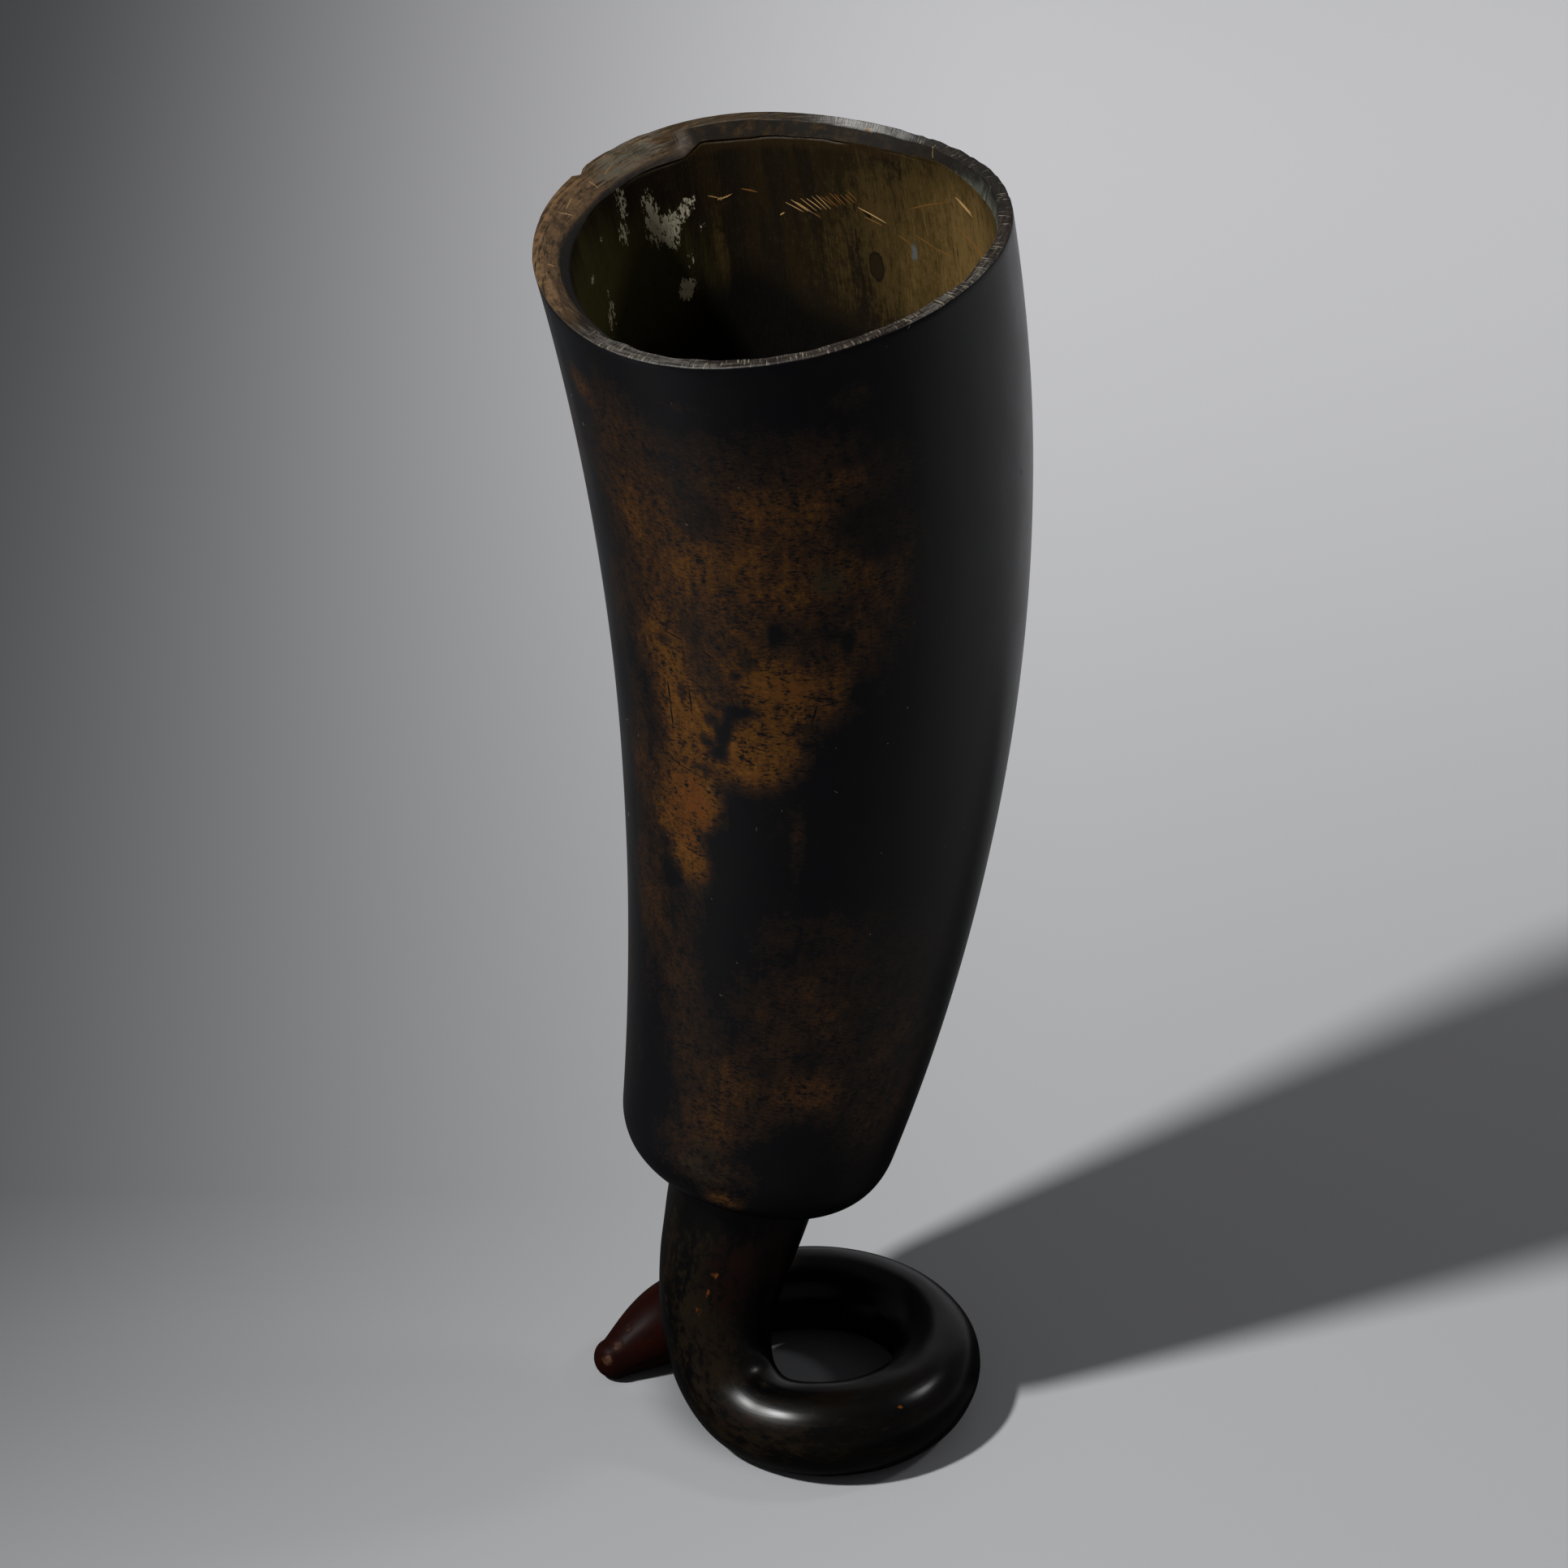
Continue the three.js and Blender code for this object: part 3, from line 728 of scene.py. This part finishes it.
def marks(name, strokes, finish, facing):
    """One closed sliver for each stroke, on the outside (facing 1) or the inside (facing -1). A
    stroke is round and along where it starts and ends, its width, and how far it stands proud."""
    share = np.linspace(0, 1, mark_stations)
    taper = np.sqrt(np.sin(math.pi * (blunt_end + (1 - 2 * blunt_end) * share)))[:, None]
    points, faces = [], []
    for start_round, start_along, end_round, end_along, width, proud in strokes:
        angle = np.radians(start_round + (end_round - start_round) * share)
        along = (start_along + (end_along - start_along) * share) * mm
        radius = outside_radius(along, angle)
        if facing < 0:
            drop = np.interp(angle, turns, lip_drop)
            on_bevel = (body_length - drop - along) / (np.interp(angle, turns, bevel_foot) - drop)
            lip = np.interp(angle, turns, lip_inset)
            inset = lip + (wall_thickness(body_length, angle) - lip) * np.clip(on_bevel, 0, 1)
            radius -= np.where(on_bevel < 1, inset, wall_thickness(along, angle))
        slope = mouth_slope * (along / body_length) ** mouth_slope_fade
        height = along + slope * radius * np.cos(angle - mouth_slope_heading)
        out = np.stack([np.cos(angle), np.sin(angle), 0 * angle], axis=1)
        middle = out * radius[:, None] + np.stack([0 * along, 0 * along, height], axis=1)
        ahead = np.gradient(middle, axis=0)
        ahead /= np.linalg.norm(ahead, axis=1)[:, None]
        up = out * facing
        aside = np.cross(ahead, up) * width * mm / 2 * taper
        corners = [middle + up * proud * mm * taper, middle + aside, middle - up * mark_root,
                   middle - aside]
        first = len(points)
        points += np.stack(corners, axis=1).reshape(-1, 3).tolist()
        last = first + 4 * (mark_stations - 1)
        for station in range(first, last, 4):
            for corner in range(4):
                after = (corner + 1) % 4
                faces.append((station + corner, station + after,
                              station + 4 + after, station + 4 + corner))
        faces += [(first + 3, first + 2, first + 1, first), tuple(range(last, last + 4))]
    mesh = bpy.data.meshes.new(name)
    mesh.from_pydata(points, [], faces)
    mesh.attributes.new("skin", "INT", "FACE")
    piece = new_piece(name, mesh)
    run_tree(piece, bending, body_bend | {"Outside": finish})
    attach(piece, "root")


def bare_horn(name, code, roughness):
    """Horn of one plain colour, too small a mark to show a grain."""
    finish, tree, shader, grain = new_finish(name)
    shader.inputs["Base Color"].default_value = colour(code)
    shader.inputs["Roughness"].default_value = roughness
    return finish


fresh_cut = bare_horn("freshly cut horn", "#c59c64", 0.4)
old_cut = bare_horn("horn cut long ago", "#7a5226", 0.45)
bright_strokes = [
    (110, 136, 107, 135.3, 0.16, 0.05), (107.6, 135.1, 106.3, 135.4, 0.14, 0.05),
    (106.9, 135, 105.5, 135.4, 0.14, 0.05), (106.1, 135.1, 104.7, 135.5, 0.14, 0.05),
    (105.2, 135.2, 103.8, 135.6, 0.14, 0.05), (90.5, 132, 89, 132.4, 0.3, 0.06),
    (24.5, 139.8, 18, 138.7, 0.5, 0.06), (23, 139.4, 17.5, 138.3, 0.3, 0.06),
    (63.5, 134.2, 53.5, 132.6, 0.2, 0.06), (35.5, 144.7, 32, 144.2, 0.3, 0.05),
    (59.5, 144.9, 57, 144.4, 0.25, 0.05), (178, 144.7, 177.5, 143.9, 0.3, 0.05),
    (172, 144.4, 170.5, 144.1, 0.25, 0.05), (154.5, 144.5, 152, 143.3, 0.22, 0.05),
    (151.7, 144.1, 147.5, 144.4, 0.14, 0.05), (140, 144.4, 139.3, 143.4, 0.15, 0.05),
    (135, 144, 131.5, 144.4, 0.22, 0.05),
]
faint_strokes = [
    (104.4, 135.3, 103.1, 135.7, 0.14, 0.05), (100.5, 136.2, 96, 135.5, 0.3, 0.05),
    (80, 132.6, 77.5, 131.9, 0.2, 0.05), (61.5, 132.9, 55, 132.1, 0.2, 0.06),
    (27, 135.4, 11, 133.2, 0.25, 0.06), (19, 134, 11, 132.6, 0.25, 0.06),
    (49.5, 131.2, 45.5, 130.4, 0.25, 0.05), (42.5, 131.8, 36, 130.8, 0.3, 0.05),
    (36, 130.8, 29, 130.4, 0.22, 0.05), (44, 135.5, 29, 138.3, 0.2, 0.03),
    (129.5, 144.9, 126, 144.7, 0.2, 0.04), (131, 144.7, 129, 144.8, 0.2, 0.04),
    (122, 145, 115, 144.9, 0.14, 0.04), (121, 144.6, 114.5, 144.5, 0.14, 0.04),
]

# The scraper chattered: a row of slanting strokes, each further round and higher than the last.
hatch_count = 14
jump_reach = 0.3
for k, step in enumerate(np.linspace(0, 1, hatch_count)):
    jump = chance.uniform(-jump_reach, jump_reach, 3)
    stroke = (88 - 22 * step + jump[0], 134 + 2.2 * step + jump[1],
              82.8 - 19.8 * step + jump[0], 132.4 + 2.5 * step + jump[2],
              chance.uniform(0.12, 0.2), 0.06)
    (bright_strokes if k < hatch_count // 2 else faint_strokes).append(stroke)
marks("scraper_marks", bright_strokes, fresh_cut, -1)
marks("faint_scraper_marks", faint_strokes, old_cut, -1)
# Painted shade: a near-black sliver lies in a hollow of the cut and stands for its shade.
marks("lifted_sliver", [(61.5, 133.6, 59, 133, 0.5, 0.03)],
      bare_horn("painted shade in a hollow of the cut", "#0a0605", 0.6), -1)
skin_threads = [
    (269.5, 91, 277, 90.4, 0.3, 0.02), (271.2, 89.6, 269.8, 86.6, 0.3, 0.02),
    (272, 89.5, 279, 90.2, 0.25, 0.02), (260, 99.8, 265, 99.6, 0.3, 0.02),
    (217, 75.4, 236, 74.4, 0.2, 0.02), (222, 76, 226, 75, 0.35, 0.02),
    (233, 89.4, 233.4, 84.6, 0.25, 0.02), (225, 88.6, 225.2, 85.6, 0.35, 0.02),
    (225.2, 84.6, 225.6, 81, 0.3, 0.02), (263, 78.8, 273, 78.4, 0.18, 0.02),
    (225, 97.7, 233, 97.2, 0.3, 0.02), (236, 90.2, 240, 89.8, 0.25, 0.02),
    (252, 82, 257, 81.4, 0.2, 0.02), (228, 79.5, 231, 79.1, 0.2, 0.02),
    (239, 96.5, 243, 95.6, 0.25, 0.02), (247, 90, 248.5, 86.5, 0.2, 0.02),
]
marks("threads_of_skin", skin_threads, bare_horn("black skin left behind", "#070608", 0.35), 1)

nicking, given = new_tree("Nick the outside", {
    "Nicks per square metre": "Float", "Shortest": "Float", "Longest": "Float", "Width": "Float",
    "Seed": "Int", "Finish": "Material",
})
skin = add(nicking, "GeometryNodeInputNamedAttribute", {"Name": "skin"}, data_type="INT")
is_outside = add(nicking, "FunctionNodeCompare", {"A": skin, "B": 0}, data_type="INT",
                 operation="EQUAL")
places_hit = add(nicking, "GeometryNodeDistributePointsOnFaces",
                 {"Mesh": given["Geometry"], "Selection": is_outside,
                  "Density": given["Nicks per square metre"], "Seed": given["Seed"]})
turn = add(nicking, "FunctionNodeRandomValue", {"Min": 0.0, "Max": math.pi, "Seed": 1},
           data_type="FLOAT")
turn = add(nicking, "CombineXYZ", {2: turn})
turn = add(nicking, "FunctionNodeEulerToRotation", {"Euler": turn})
laid = add(nicking, "FunctionNodeRotateRotation",
           {"Rotation": places_hit.outputs["Rotation"], "Rotate By": turn}, rotation_space="LOCAL")
length = add(nicking, "FunctionNodeRandomValue",
             {"Min": given["Shortest"], "Max": given["Longest"], "Seed": 2}, data_type="FLOAT")
width = given["Width"]
size = add(nicking, "CombineXYZ", {0: length, 1: width, 2: width})
burr = add(nicking, "GeometryNodeMeshIcoSphere", {"Radius": 0.5, "Subdivisions": 1})
burrs = add(nicking, "GeometryNodeInstanceOnPoints",
            {"Points": places_hit.outputs["Points"], "Instance": burr.outputs["Mesh"],
             "Rotation": laid, "Scale": size})
burrs = add(nicking, "GeometryNodeRealizeInstances", {"Geometry": burrs})
burrs = add(nicking, "GeometryNodeSetMaterial", {"Geometry": burrs, "Material": given["Finish"]})
add(nicking, "NodeGroupOutput", {"Geometry": burrs})
nicks = new_piece("light_nicks", wall.data.copy())
run_tree(nicks, nicking, {
    "Nicks per square metre": 6000, "Shortest": 0.15 * mm, "Longest": 0.9 * mm, "Width": 0.06 * mm,
    "Seed": 3, "Finish": bare_horn("light nick", "#80776a", 0.5),
})
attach(nicks, "root")

# The cup's base. The same horn where it is thick: it closes the hollow with a rounded end, and is
# filed outside into a round shoulder over the stem.
hollow_floor = 20 * mm
shoulder_depth = 8.1 * mm
shoulder_power = 2.3
stem_top_width = 20.6 * mm
shoulder_rows = 44
side_rows = 33
dome_rows = 19
rings = []
for quarter in np.linspace(0, math.pi / 2, shoulder_rows):
    out_share = math.sin(quarter) ** (2 / shoulder_power)
    up_share = 1 - max(math.cos(quarter), 0) ** (2 / shoulder_power)
    start = stem_top_width / 2
    along = shoulder_depth * up_share
    rings.append(body_ring(along, start + (outside_radius(along) - start) * out_share))
for along in np.linspace(shoulder_depth, dome_top, side_rows + 1)[1:]:
    rings.append(body_ring(along, outside_radius(along)))
skins = [0] * (len(rings) - 1)
for quarter in np.linspace(0, math.pi / 2, dome_rows + 1)[:-1]:
    along = dome_top - (dome_top - hollow_floor) * math.sin(quarter)
    rings.append(hollow_ring(along, math.cos(quarter)))
    skins.append(2)
base_mesh = skin_over("cup_base_horn", rings, skins)
wear_of_the_outside(base_mesh)
base = new_piece("cup_base_horn", base_mesh)
run_tree(base, bending, body_bend)
smooth_but_for_edges(base)
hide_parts("cup_base")
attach(base, "root")


same_place = 0.01 * mm
steepest_side = 0.8


def match_shading(first, second, ahead):
    """Two zones of one horn share a ring. This gives its corners the same normal in both, so that
    no seam shows. ahead is the horn's direction at the cut."""
    sides = []
    for piece in (first, second):
        mesh = piece.data
        corner_points = np.empty(len(mesh.loops), dtype=np.int32)
        mesh.loops.foreach_get("vertex_index", corner_points)
        places = np.array([v.co for v in mesh.vertices])[corner_points]
        normals = np.array([n.vector for n in mesh.corner_normals])
        keys = [tuple(place) for place in np.round(places / same_place).astype(int)]
        on_the_side = np.abs(normals @ np.array(ahead)) < steepest_side
        sides.append((mesh, normals, keys, on_the_side))
    sums = []
    for mesh, normals, keys, on_the_side in sides:
        total = {}
        for corner in np.nonzero(on_the_side)[0]:
            total[keys[corner]] = total.get(keys[corner], 0) + normals[corner]
        sums.append({key: value / np.linalg.norm(value) for key, value in total.items()})
    shared = set(sums[0]) & set(sums[1])
    for mesh, normals, keys, on_the_side in sides:
        for corner in np.nonzero(on_the_side)[0]:
            if keys[corner] in shared:
                both = sums[0][keys[corner]] + sums[1][keys[corner]]
                normals[corner] = both / np.linalg.norm(both)
        mesh.normals_split_custom_set(normals.tolist())


match_shading(wall, base, body_axis(dome_top)[1])

# The solid horn below the cup: a round stem that was softened with heat and bent through a quarter
# turn into a loop. The spine is a line, a bend, an ellipse on the ground and a last easy curve.
stem_length = 11.2 * mm
bend_reach = 17 * mm
loop_half_width = 15.1 * mm
loop_start = math.radians(240)
loop_cut = math.radians(225)
loop_front = math.radians(270)
loop_end = math.radians(413)
loop_reach = 7 * mm
point_left = 29.7 * mm
point_back = 4 * mm
point_heading = math.radians(204)
point_start_reach = 18.7 * mm
point_end_reach = 5.7 * mm
foot_wear = 0.3 * mm
solid_widths = np.array([20.6, 18.4, 12.4, 12.9, 11.5, 11.5, 10.6, 6]) * mm
point_cut = 0.42
point_taper = 0.82
solid_sides = 72
tip_rows = 8
spine_points = 120
solid_step = 0.5 * mm
polish_step = 4 * mm


def easy_curve(a, b, c, d, t):
    t = t[:, None]
    return a * (1 - t) ** 3 + 3 * b * t * (1 - t) ** 2 + 3 * c * t ** 2 * (1 - t) + d * t ** 3


def on_ellipse(angle):
    bar_height = solid_widths[2] / 2 - foot_wear
    place = np.array([loop_half_width * math.cos(angle), loop_half_depth * math.sin(angle), bar_height])
    ahead = np.array([-loop_half_width * math.sin(angle), loop_half_depth * math.cos(angle), 0])
    return np.array(loop_middle) + place, ahead / np.linalg.norm(ahead)


def flowing(x, places, values):
    """A smooth curve through values at places."""
    slopes = np.gradient(values, places)
    i = np.clip(np.searchsorted(places, x) - 1, 0, len(places) - 2)
    span = places[i + 1] - places[i]
    t = np.clip((x - places[i]) / span, 0, 1)
    start = values[i] * (1 + 2 * t) * (1 - t) ** 2 + slopes[i] * span * t * (1 - t) ** 2
    end = values[i + 1] * t ** 2 * (3 - 2 * t) + slopes[i + 1] * span * t ** 2 * (t - 1)
    return start + end


top, up_the_horn = body_axis(0)
stem_foot = top - up_the_horn * stem_length
loop_begin, begin_ahead = on_ellipse(loop_start)
loop_finish, finish_ahead = on_ellipse(loop_end)
point_ahead = np.array([math.cos(point_heading), math.sin(point_heading), 0])
point_end = np.array(loop_middle) + np.array([-point_left, point_back, loop_finish[2]])
t = np.linspace(0, 1, spine_points)
stretches = [
    top + (stem_foot - top) * t[:, None],
    easy_curve(stem_foot, stem_foot - up_the_horn * bend_reach,
               loop_begin - begin_ahead * loop_reach, loop_begin, t),
    np.array([on_ellipse(angle)[0] for angle in loop_start + (loop_end - loop_start) * t]),
    easy_curve(loop_finish, loop_finish + finish_ahead * point_start_reach,
               point_end - point_ahead * point_end_reach, point_end, t),
]
spans = []
for stretch in stretches:
    spans.append(np.linalg.norm(np.diff(stretch, axis=0), axis=1).sum())
stem_end, bend_end, arc_end, path_end = np.cumsum(spans)
stem_cut = bend_end - spans[2] * (loop_start - loop_cut) / (loop_end - loop_start)
front = bend_end + spans[2] * (loop_front - loop_start) / (loop_end - loop_start)
behind_stem = arc_end + spans[3] * point_cut
taper_start = arc_end + spans[3] * point_taper
places = np.array([0, stem_end, bend_end, front, arc_end, behind_stem, taper_start, path_end])
line = np.concatenate([stretches[0]] + [stretch[1:] for stretch in stretches[1:]])
reached = np.concatenate([[0], np.cumsum(np.linalg.norm(np.diff(line, axis=0), axis=1))])
lying = np.arange(len(line)) >= 2 * len(t) - 1
line[lying, 2] = flowing(reached[lying], places, solid_widths) / 2 - foot_wear
past_the_point = 4 * mm
line = np.concatenate([line, [line[-1] + point_ahead * past_the_point]])
solid_spine = spine_curve("solid_spine", line)

solid_turns = np.arange(solid_sides) * 2 * math.pi / solid_sides


def solid_ring(along, radius):
    round_bar = [radius * np.cos(solid_turns), radius * np.sin(solid_turns)]
    return np.stack([*round_bar, np.full(solid_sides, along)], axis=1)


def solid_zone(name, start, end, cap=False):
    count = max(2, round((end - start) / solid_step))
    rings = [solid_ring(s, flowing(s, places, solid_widths) / 2)
             for s in np.linspace(start, end, count + 1)]
    if cap:
        tip = solid_widths[-1] / 2
        for quarter in np.linspace(0, math.pi / 2, tip_rows + 2)[1:-1]:
            rings.append(solid_ring(end + tip * math.sin(quarter), tip * math.cos(quarter)))
    # The point loses its polish in two steps, which the skin numbers mark.
    skins = np.arange(len(rings) - 1) * solid_step // polish_step
    return new_piece(name, skin_over(name, rings, np.clip(skins, 0, 2 if cap else 0)))


def solid_horn(name, gloss):
    """The solid point of the horn, pared round and rubbed brightest of all. It is near black with
    olive and red-brown clouds, turns mahogany towards the point, and is worn pale where it ends."""
    finish, tree, shader, grain = new_finish(name)
    shader.inputs["Specular IOR Level"].default_value = gloss
    cloud = mottling(tree, grain, 4, 8, 3)
    mottle = mottling(tree, grain, 1.0, 1.8, 6, 0.7)
    fibre = mottling(tree, grain, 0.4, 6, 2)
    amber, olive, red, pale = stored(tree, "amber olive red pale")
    reddened = summed(tree, red, (cloud, 0.6), (mottle, 1.4))
    mossy = summed(tree, olive, (cloud, 0.6), (mottle, 1.6))
    flecks = summed(tree, amber, (mottle, 1.2))
    bared = summed(tree, pale, (mottle, 0.8))
    surface = worn_through(tree, "#040303", [
        ("#0d0906", cloud, 0.4, 0.65),
        ("#1c1409", mossy, 1.4, 1.75),
        ("#1b0906", reddened, 1.35, 1.6),
        ("#240b05", reddened, 1.65, 2.1),
        ("#6e3c08", flecks, 1.05, 1.3),
        ("#5c4030", bared, 0.9, 1.3),
    ])
    rough = add(tree, "MapRange",
                {"Value": bared, "From Min": 0.7, "From Max": 1.2, "To Min": 0.2, "To Max": 0.42})
    rough = summed(tree, rough, (red, 0.25), (cloud, 0.1))
    relief = summed(tree, fibre, (mottle, 0.6))
    join_up(tree, shader, surface, rough, relief, 0.2, 0.05 * mm)
    return finish


bright_horn = {"Outside": solid_horn("polished solid horn", 0.22)}
dull_horn = {"Outside": solid_horn("half polished solid horn", 0.14),
             "Lip": solid_horn("hardly polished solid horn", 0.08),
             "Inside": solid_horn("dull point of the horn", 0.04)}
solid_bend = body_bend | {"Spine": solid_spine, "Keep the spine's twist": True,
                          "Unevenness": 0.34 * mm, "Facet width": 6 * mm, "Facet length": 11 * mm}
path_end_mm = path_end / mm
# Flecks of amber, olive clouds, red-brown places, and the bare pale spots at the point.
solid_spots = {
    "amber": [(222, 12, 0.9, 1.2, 0.75), (226, 15.5, 0.6, 1.4, 0.65), (232, 19, 1.4, 2, 0.42),
        (214, 16, 1.5, 3, 0.4), (220, 56, 0.5, 0.5, 0.9), (238, 26, 3, 3, 0.3)],
    "olive": [(245, 13, 10, 14, 0.4), (225, 24, 8, 10, 0.4), (230, 36, 9, 12, 0.35),
        (250, 45, 6, 20, 0.3)],
    "red": [(180, 8, 9, 10, 0.45), (205, 14, 7, 10, 0.4), (155, 63, 3, 3, 0.35), (240, 38, 5, 7, 0.4),
        (0, path_end_mm, 80, 22, 0.8)],
    "pale": [(172, 127.5, 1.4, 1.2, 0.6), (156, 130, 1.3, 1.5, 0.65),
        (130, path_end_mm + 1.8, 1.5, 1.2, 0.75)],
}
zones = []
for name, node, slot, start, end, finishes in (
    ("stem_horn", "stem", "horn_stem", 0, stem_cut, bright_horn),
    ("foot_loop_horn", "foot_loop", "horn_loop", stem_cut, behind_stem, bright_horn),
    ("horn_point_horn", "horn_point", "horn_point", behind_stem, path_end, dull_horn),
):
    zone = solid_zone(name, start, end, cap=node == "horn_point")
    for spot_name, spots in solid_spots.items():
        soft_spots(zone.data, spot_name, spots)
    run_tree(zone, bending, solid_bend | finishes)
    smooth_but_for_edges(zone)
    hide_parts(node)
    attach(zone, "root")
    zones.append(zone)
for number, cut in enumerate((stem_cut, behind_stem)):
    after = np.searchsorted(reached, cut)
    ahead = line[after + 1] - line[after - 1]
    match_shading(zones[number], zones[number + 1], ahead / np.linalg.norm(ahead))

for spine_object in (body_spine, solid_spine):
    bpy.data.objects.remove(spine_object)

# The table. Matt grey card lies flat under the cup and curves up far behind it. It is the stage
# and no part of the cup.
card_half_width = 1.4
sweep_start = 1.2
sweep_radius = 0.35
card_top = 1.6
floor_mesh = bpy.data.meshes.new("floor")
profile = [(-card_half_width, 0.0), (sweep_start, 0.0)]
for quarter in np.linspace(0, math.pi / 2, 12)[1:]:
    profile.append((sweep_start + sweep_radius * math.sin(quarter),
                    sweep_radius * (1 - math.cos(quarter))))
profile.append((sweep_start + sweep_radius, card_top))
points = [(x, y, z) for y, z in profile for x in (-card_half_width, card_half_width)]
faces = [(2 * i, 2 * i + 1, 2 * i + 3, 2 * i + 2) for i in range(len(profile) - 1)]
floor_mesh.from_pydata(points, [], faces)
floor_mesh.shade_smooth()
floor = new_piece("floor", floor_mesh)


def grey_card():
    """Matt grey card, evenly dyed, with light and shade painted on it: paler to the right and
    behind, where the side lamp lights it, a soft painted shadow at the far left, a painted shadow
    round the foot of the cup, and dark towards the edge of the table in front, as the card in the
    studio falls out of the light. Seen in reflections near the foot it is painted darker still."""
    card = bpy.data.materials.new("grey card")
    card.use_nodes = True
    tree = card.node_tree
    tree.nodes.clear()
    shader = add(tree, "BsdfPrincipled", {"Roughness": 0.9, "Specular IOR Level": 0.1})
    add(tree, "OutputMaterial", {"Surface": shader})
    place = add(tree, "TexCoord").outputs["Object"]
    parts = add(tree, "SeparateXYZ", {0: place})
    to_left = add(tree, "MapRange",
                  {"Value": parts.outputs["X"], "From Min": 0.05, "From Max": -0.16})
    to_back = add(tree, "MapRange",
                  {"Value": parts.outputs["Y"], "From Min": -0.155, "From Max": 0.045})
    painted_left_shadow = add(tree, "Math", {0: to_left, 1: to_back}, operation="MULTIPLY")
    away = summed(tree, 0.0, (parts.outputs["Y"], -1.0))
    from_foot = add(tree, "VectorMath", {0: place}, operation="LENGTH").outputs["Value"]
    painted_shadow_under_cup = summed(tree, 0.0, (from_foot, -1.0))
    # Painted light and shade: paler behind, a painted shadow at the far left, darker in front, and a
    # painted shadow round the foot of the cup.
    surface = worn_through(tree, "#bebfc1", [
        ("#f0f0f3", parts.outputs["Y"], 0.0, 0.42),
        ("#4c4d4f", painted_left_shadow, 0.0, 1.0),
        ("#464648", away, 0.06, 0.2),
        ("#7f8082", painted_shadow_under_cup, -0.022, -0.012),
    ])
    # Painted reflection: in reflections near the foot the card is painted darker.
    shaded = add(tree, "MapRange",
                 {"Value": from_foot, "From Min": 0.055, "From Max": 0.24, "To Min": 0.92, "To Max": 0.0})
    in_gloss = add(tree, "LightPath").outputs["Is Glossy Ray"]
    held_back = add(tree, "Math", {0: in_gloss, 1: shaded}, operation="MULTIPLY")
    surface = add(tree, "Mix", {"Factor": held_back, "A": surface, "B": colour("#0a0a0a")},
                  data_type="RGBA")
    tree.links.new(next(s for s in surface.outputs if s.enabled), shader.inputs["Base Color"])
    return card


floor.data.materials.append(grey_card())

# The light. A main lamp stands at the front left, a weak one at the right, and the room is dim grey.
# Each lamp has its height and heading in degrees, then its distance, its width and its strength.
aim = Vector((0, 0, 0.08))
for name, height_angle, round_angle, distance, width, strength in (
    ("key", 50, 209, 1.6, 0.12, 0.9),
    ("side lamp", 42, 14, 1.1, 0.16, 0.085),
):
    lamp = bpy.data.objects.new(name, bpy.data.lights.new(name, "AREA"))
    lamp.data.shape = "DISK"
    lamp.data.size = width
    lamp.data.energy = strength * math.pi ** 2 * distance ** 2
    up, aside = math.radians(height_angle), math.radians(round_angle)
    towards = Vector((math.cos(aside) * math.cos(up), math.sin(aside) * math.cos(up), math.sin(up)))
    lamp.location = aim + towards * distance
    lamp.rotation_euler = towards.to_track_quat("Z", "Y").to_euler()
    scene.collection.objects.link(lamp)
world = bpy.data.worlds.new("room")
scene.world = world
world.use_nodes = True
world.node_tree.nodes["Background"].inputs["Color"].default_value = (0.082, 0.082, 0.086, 1)
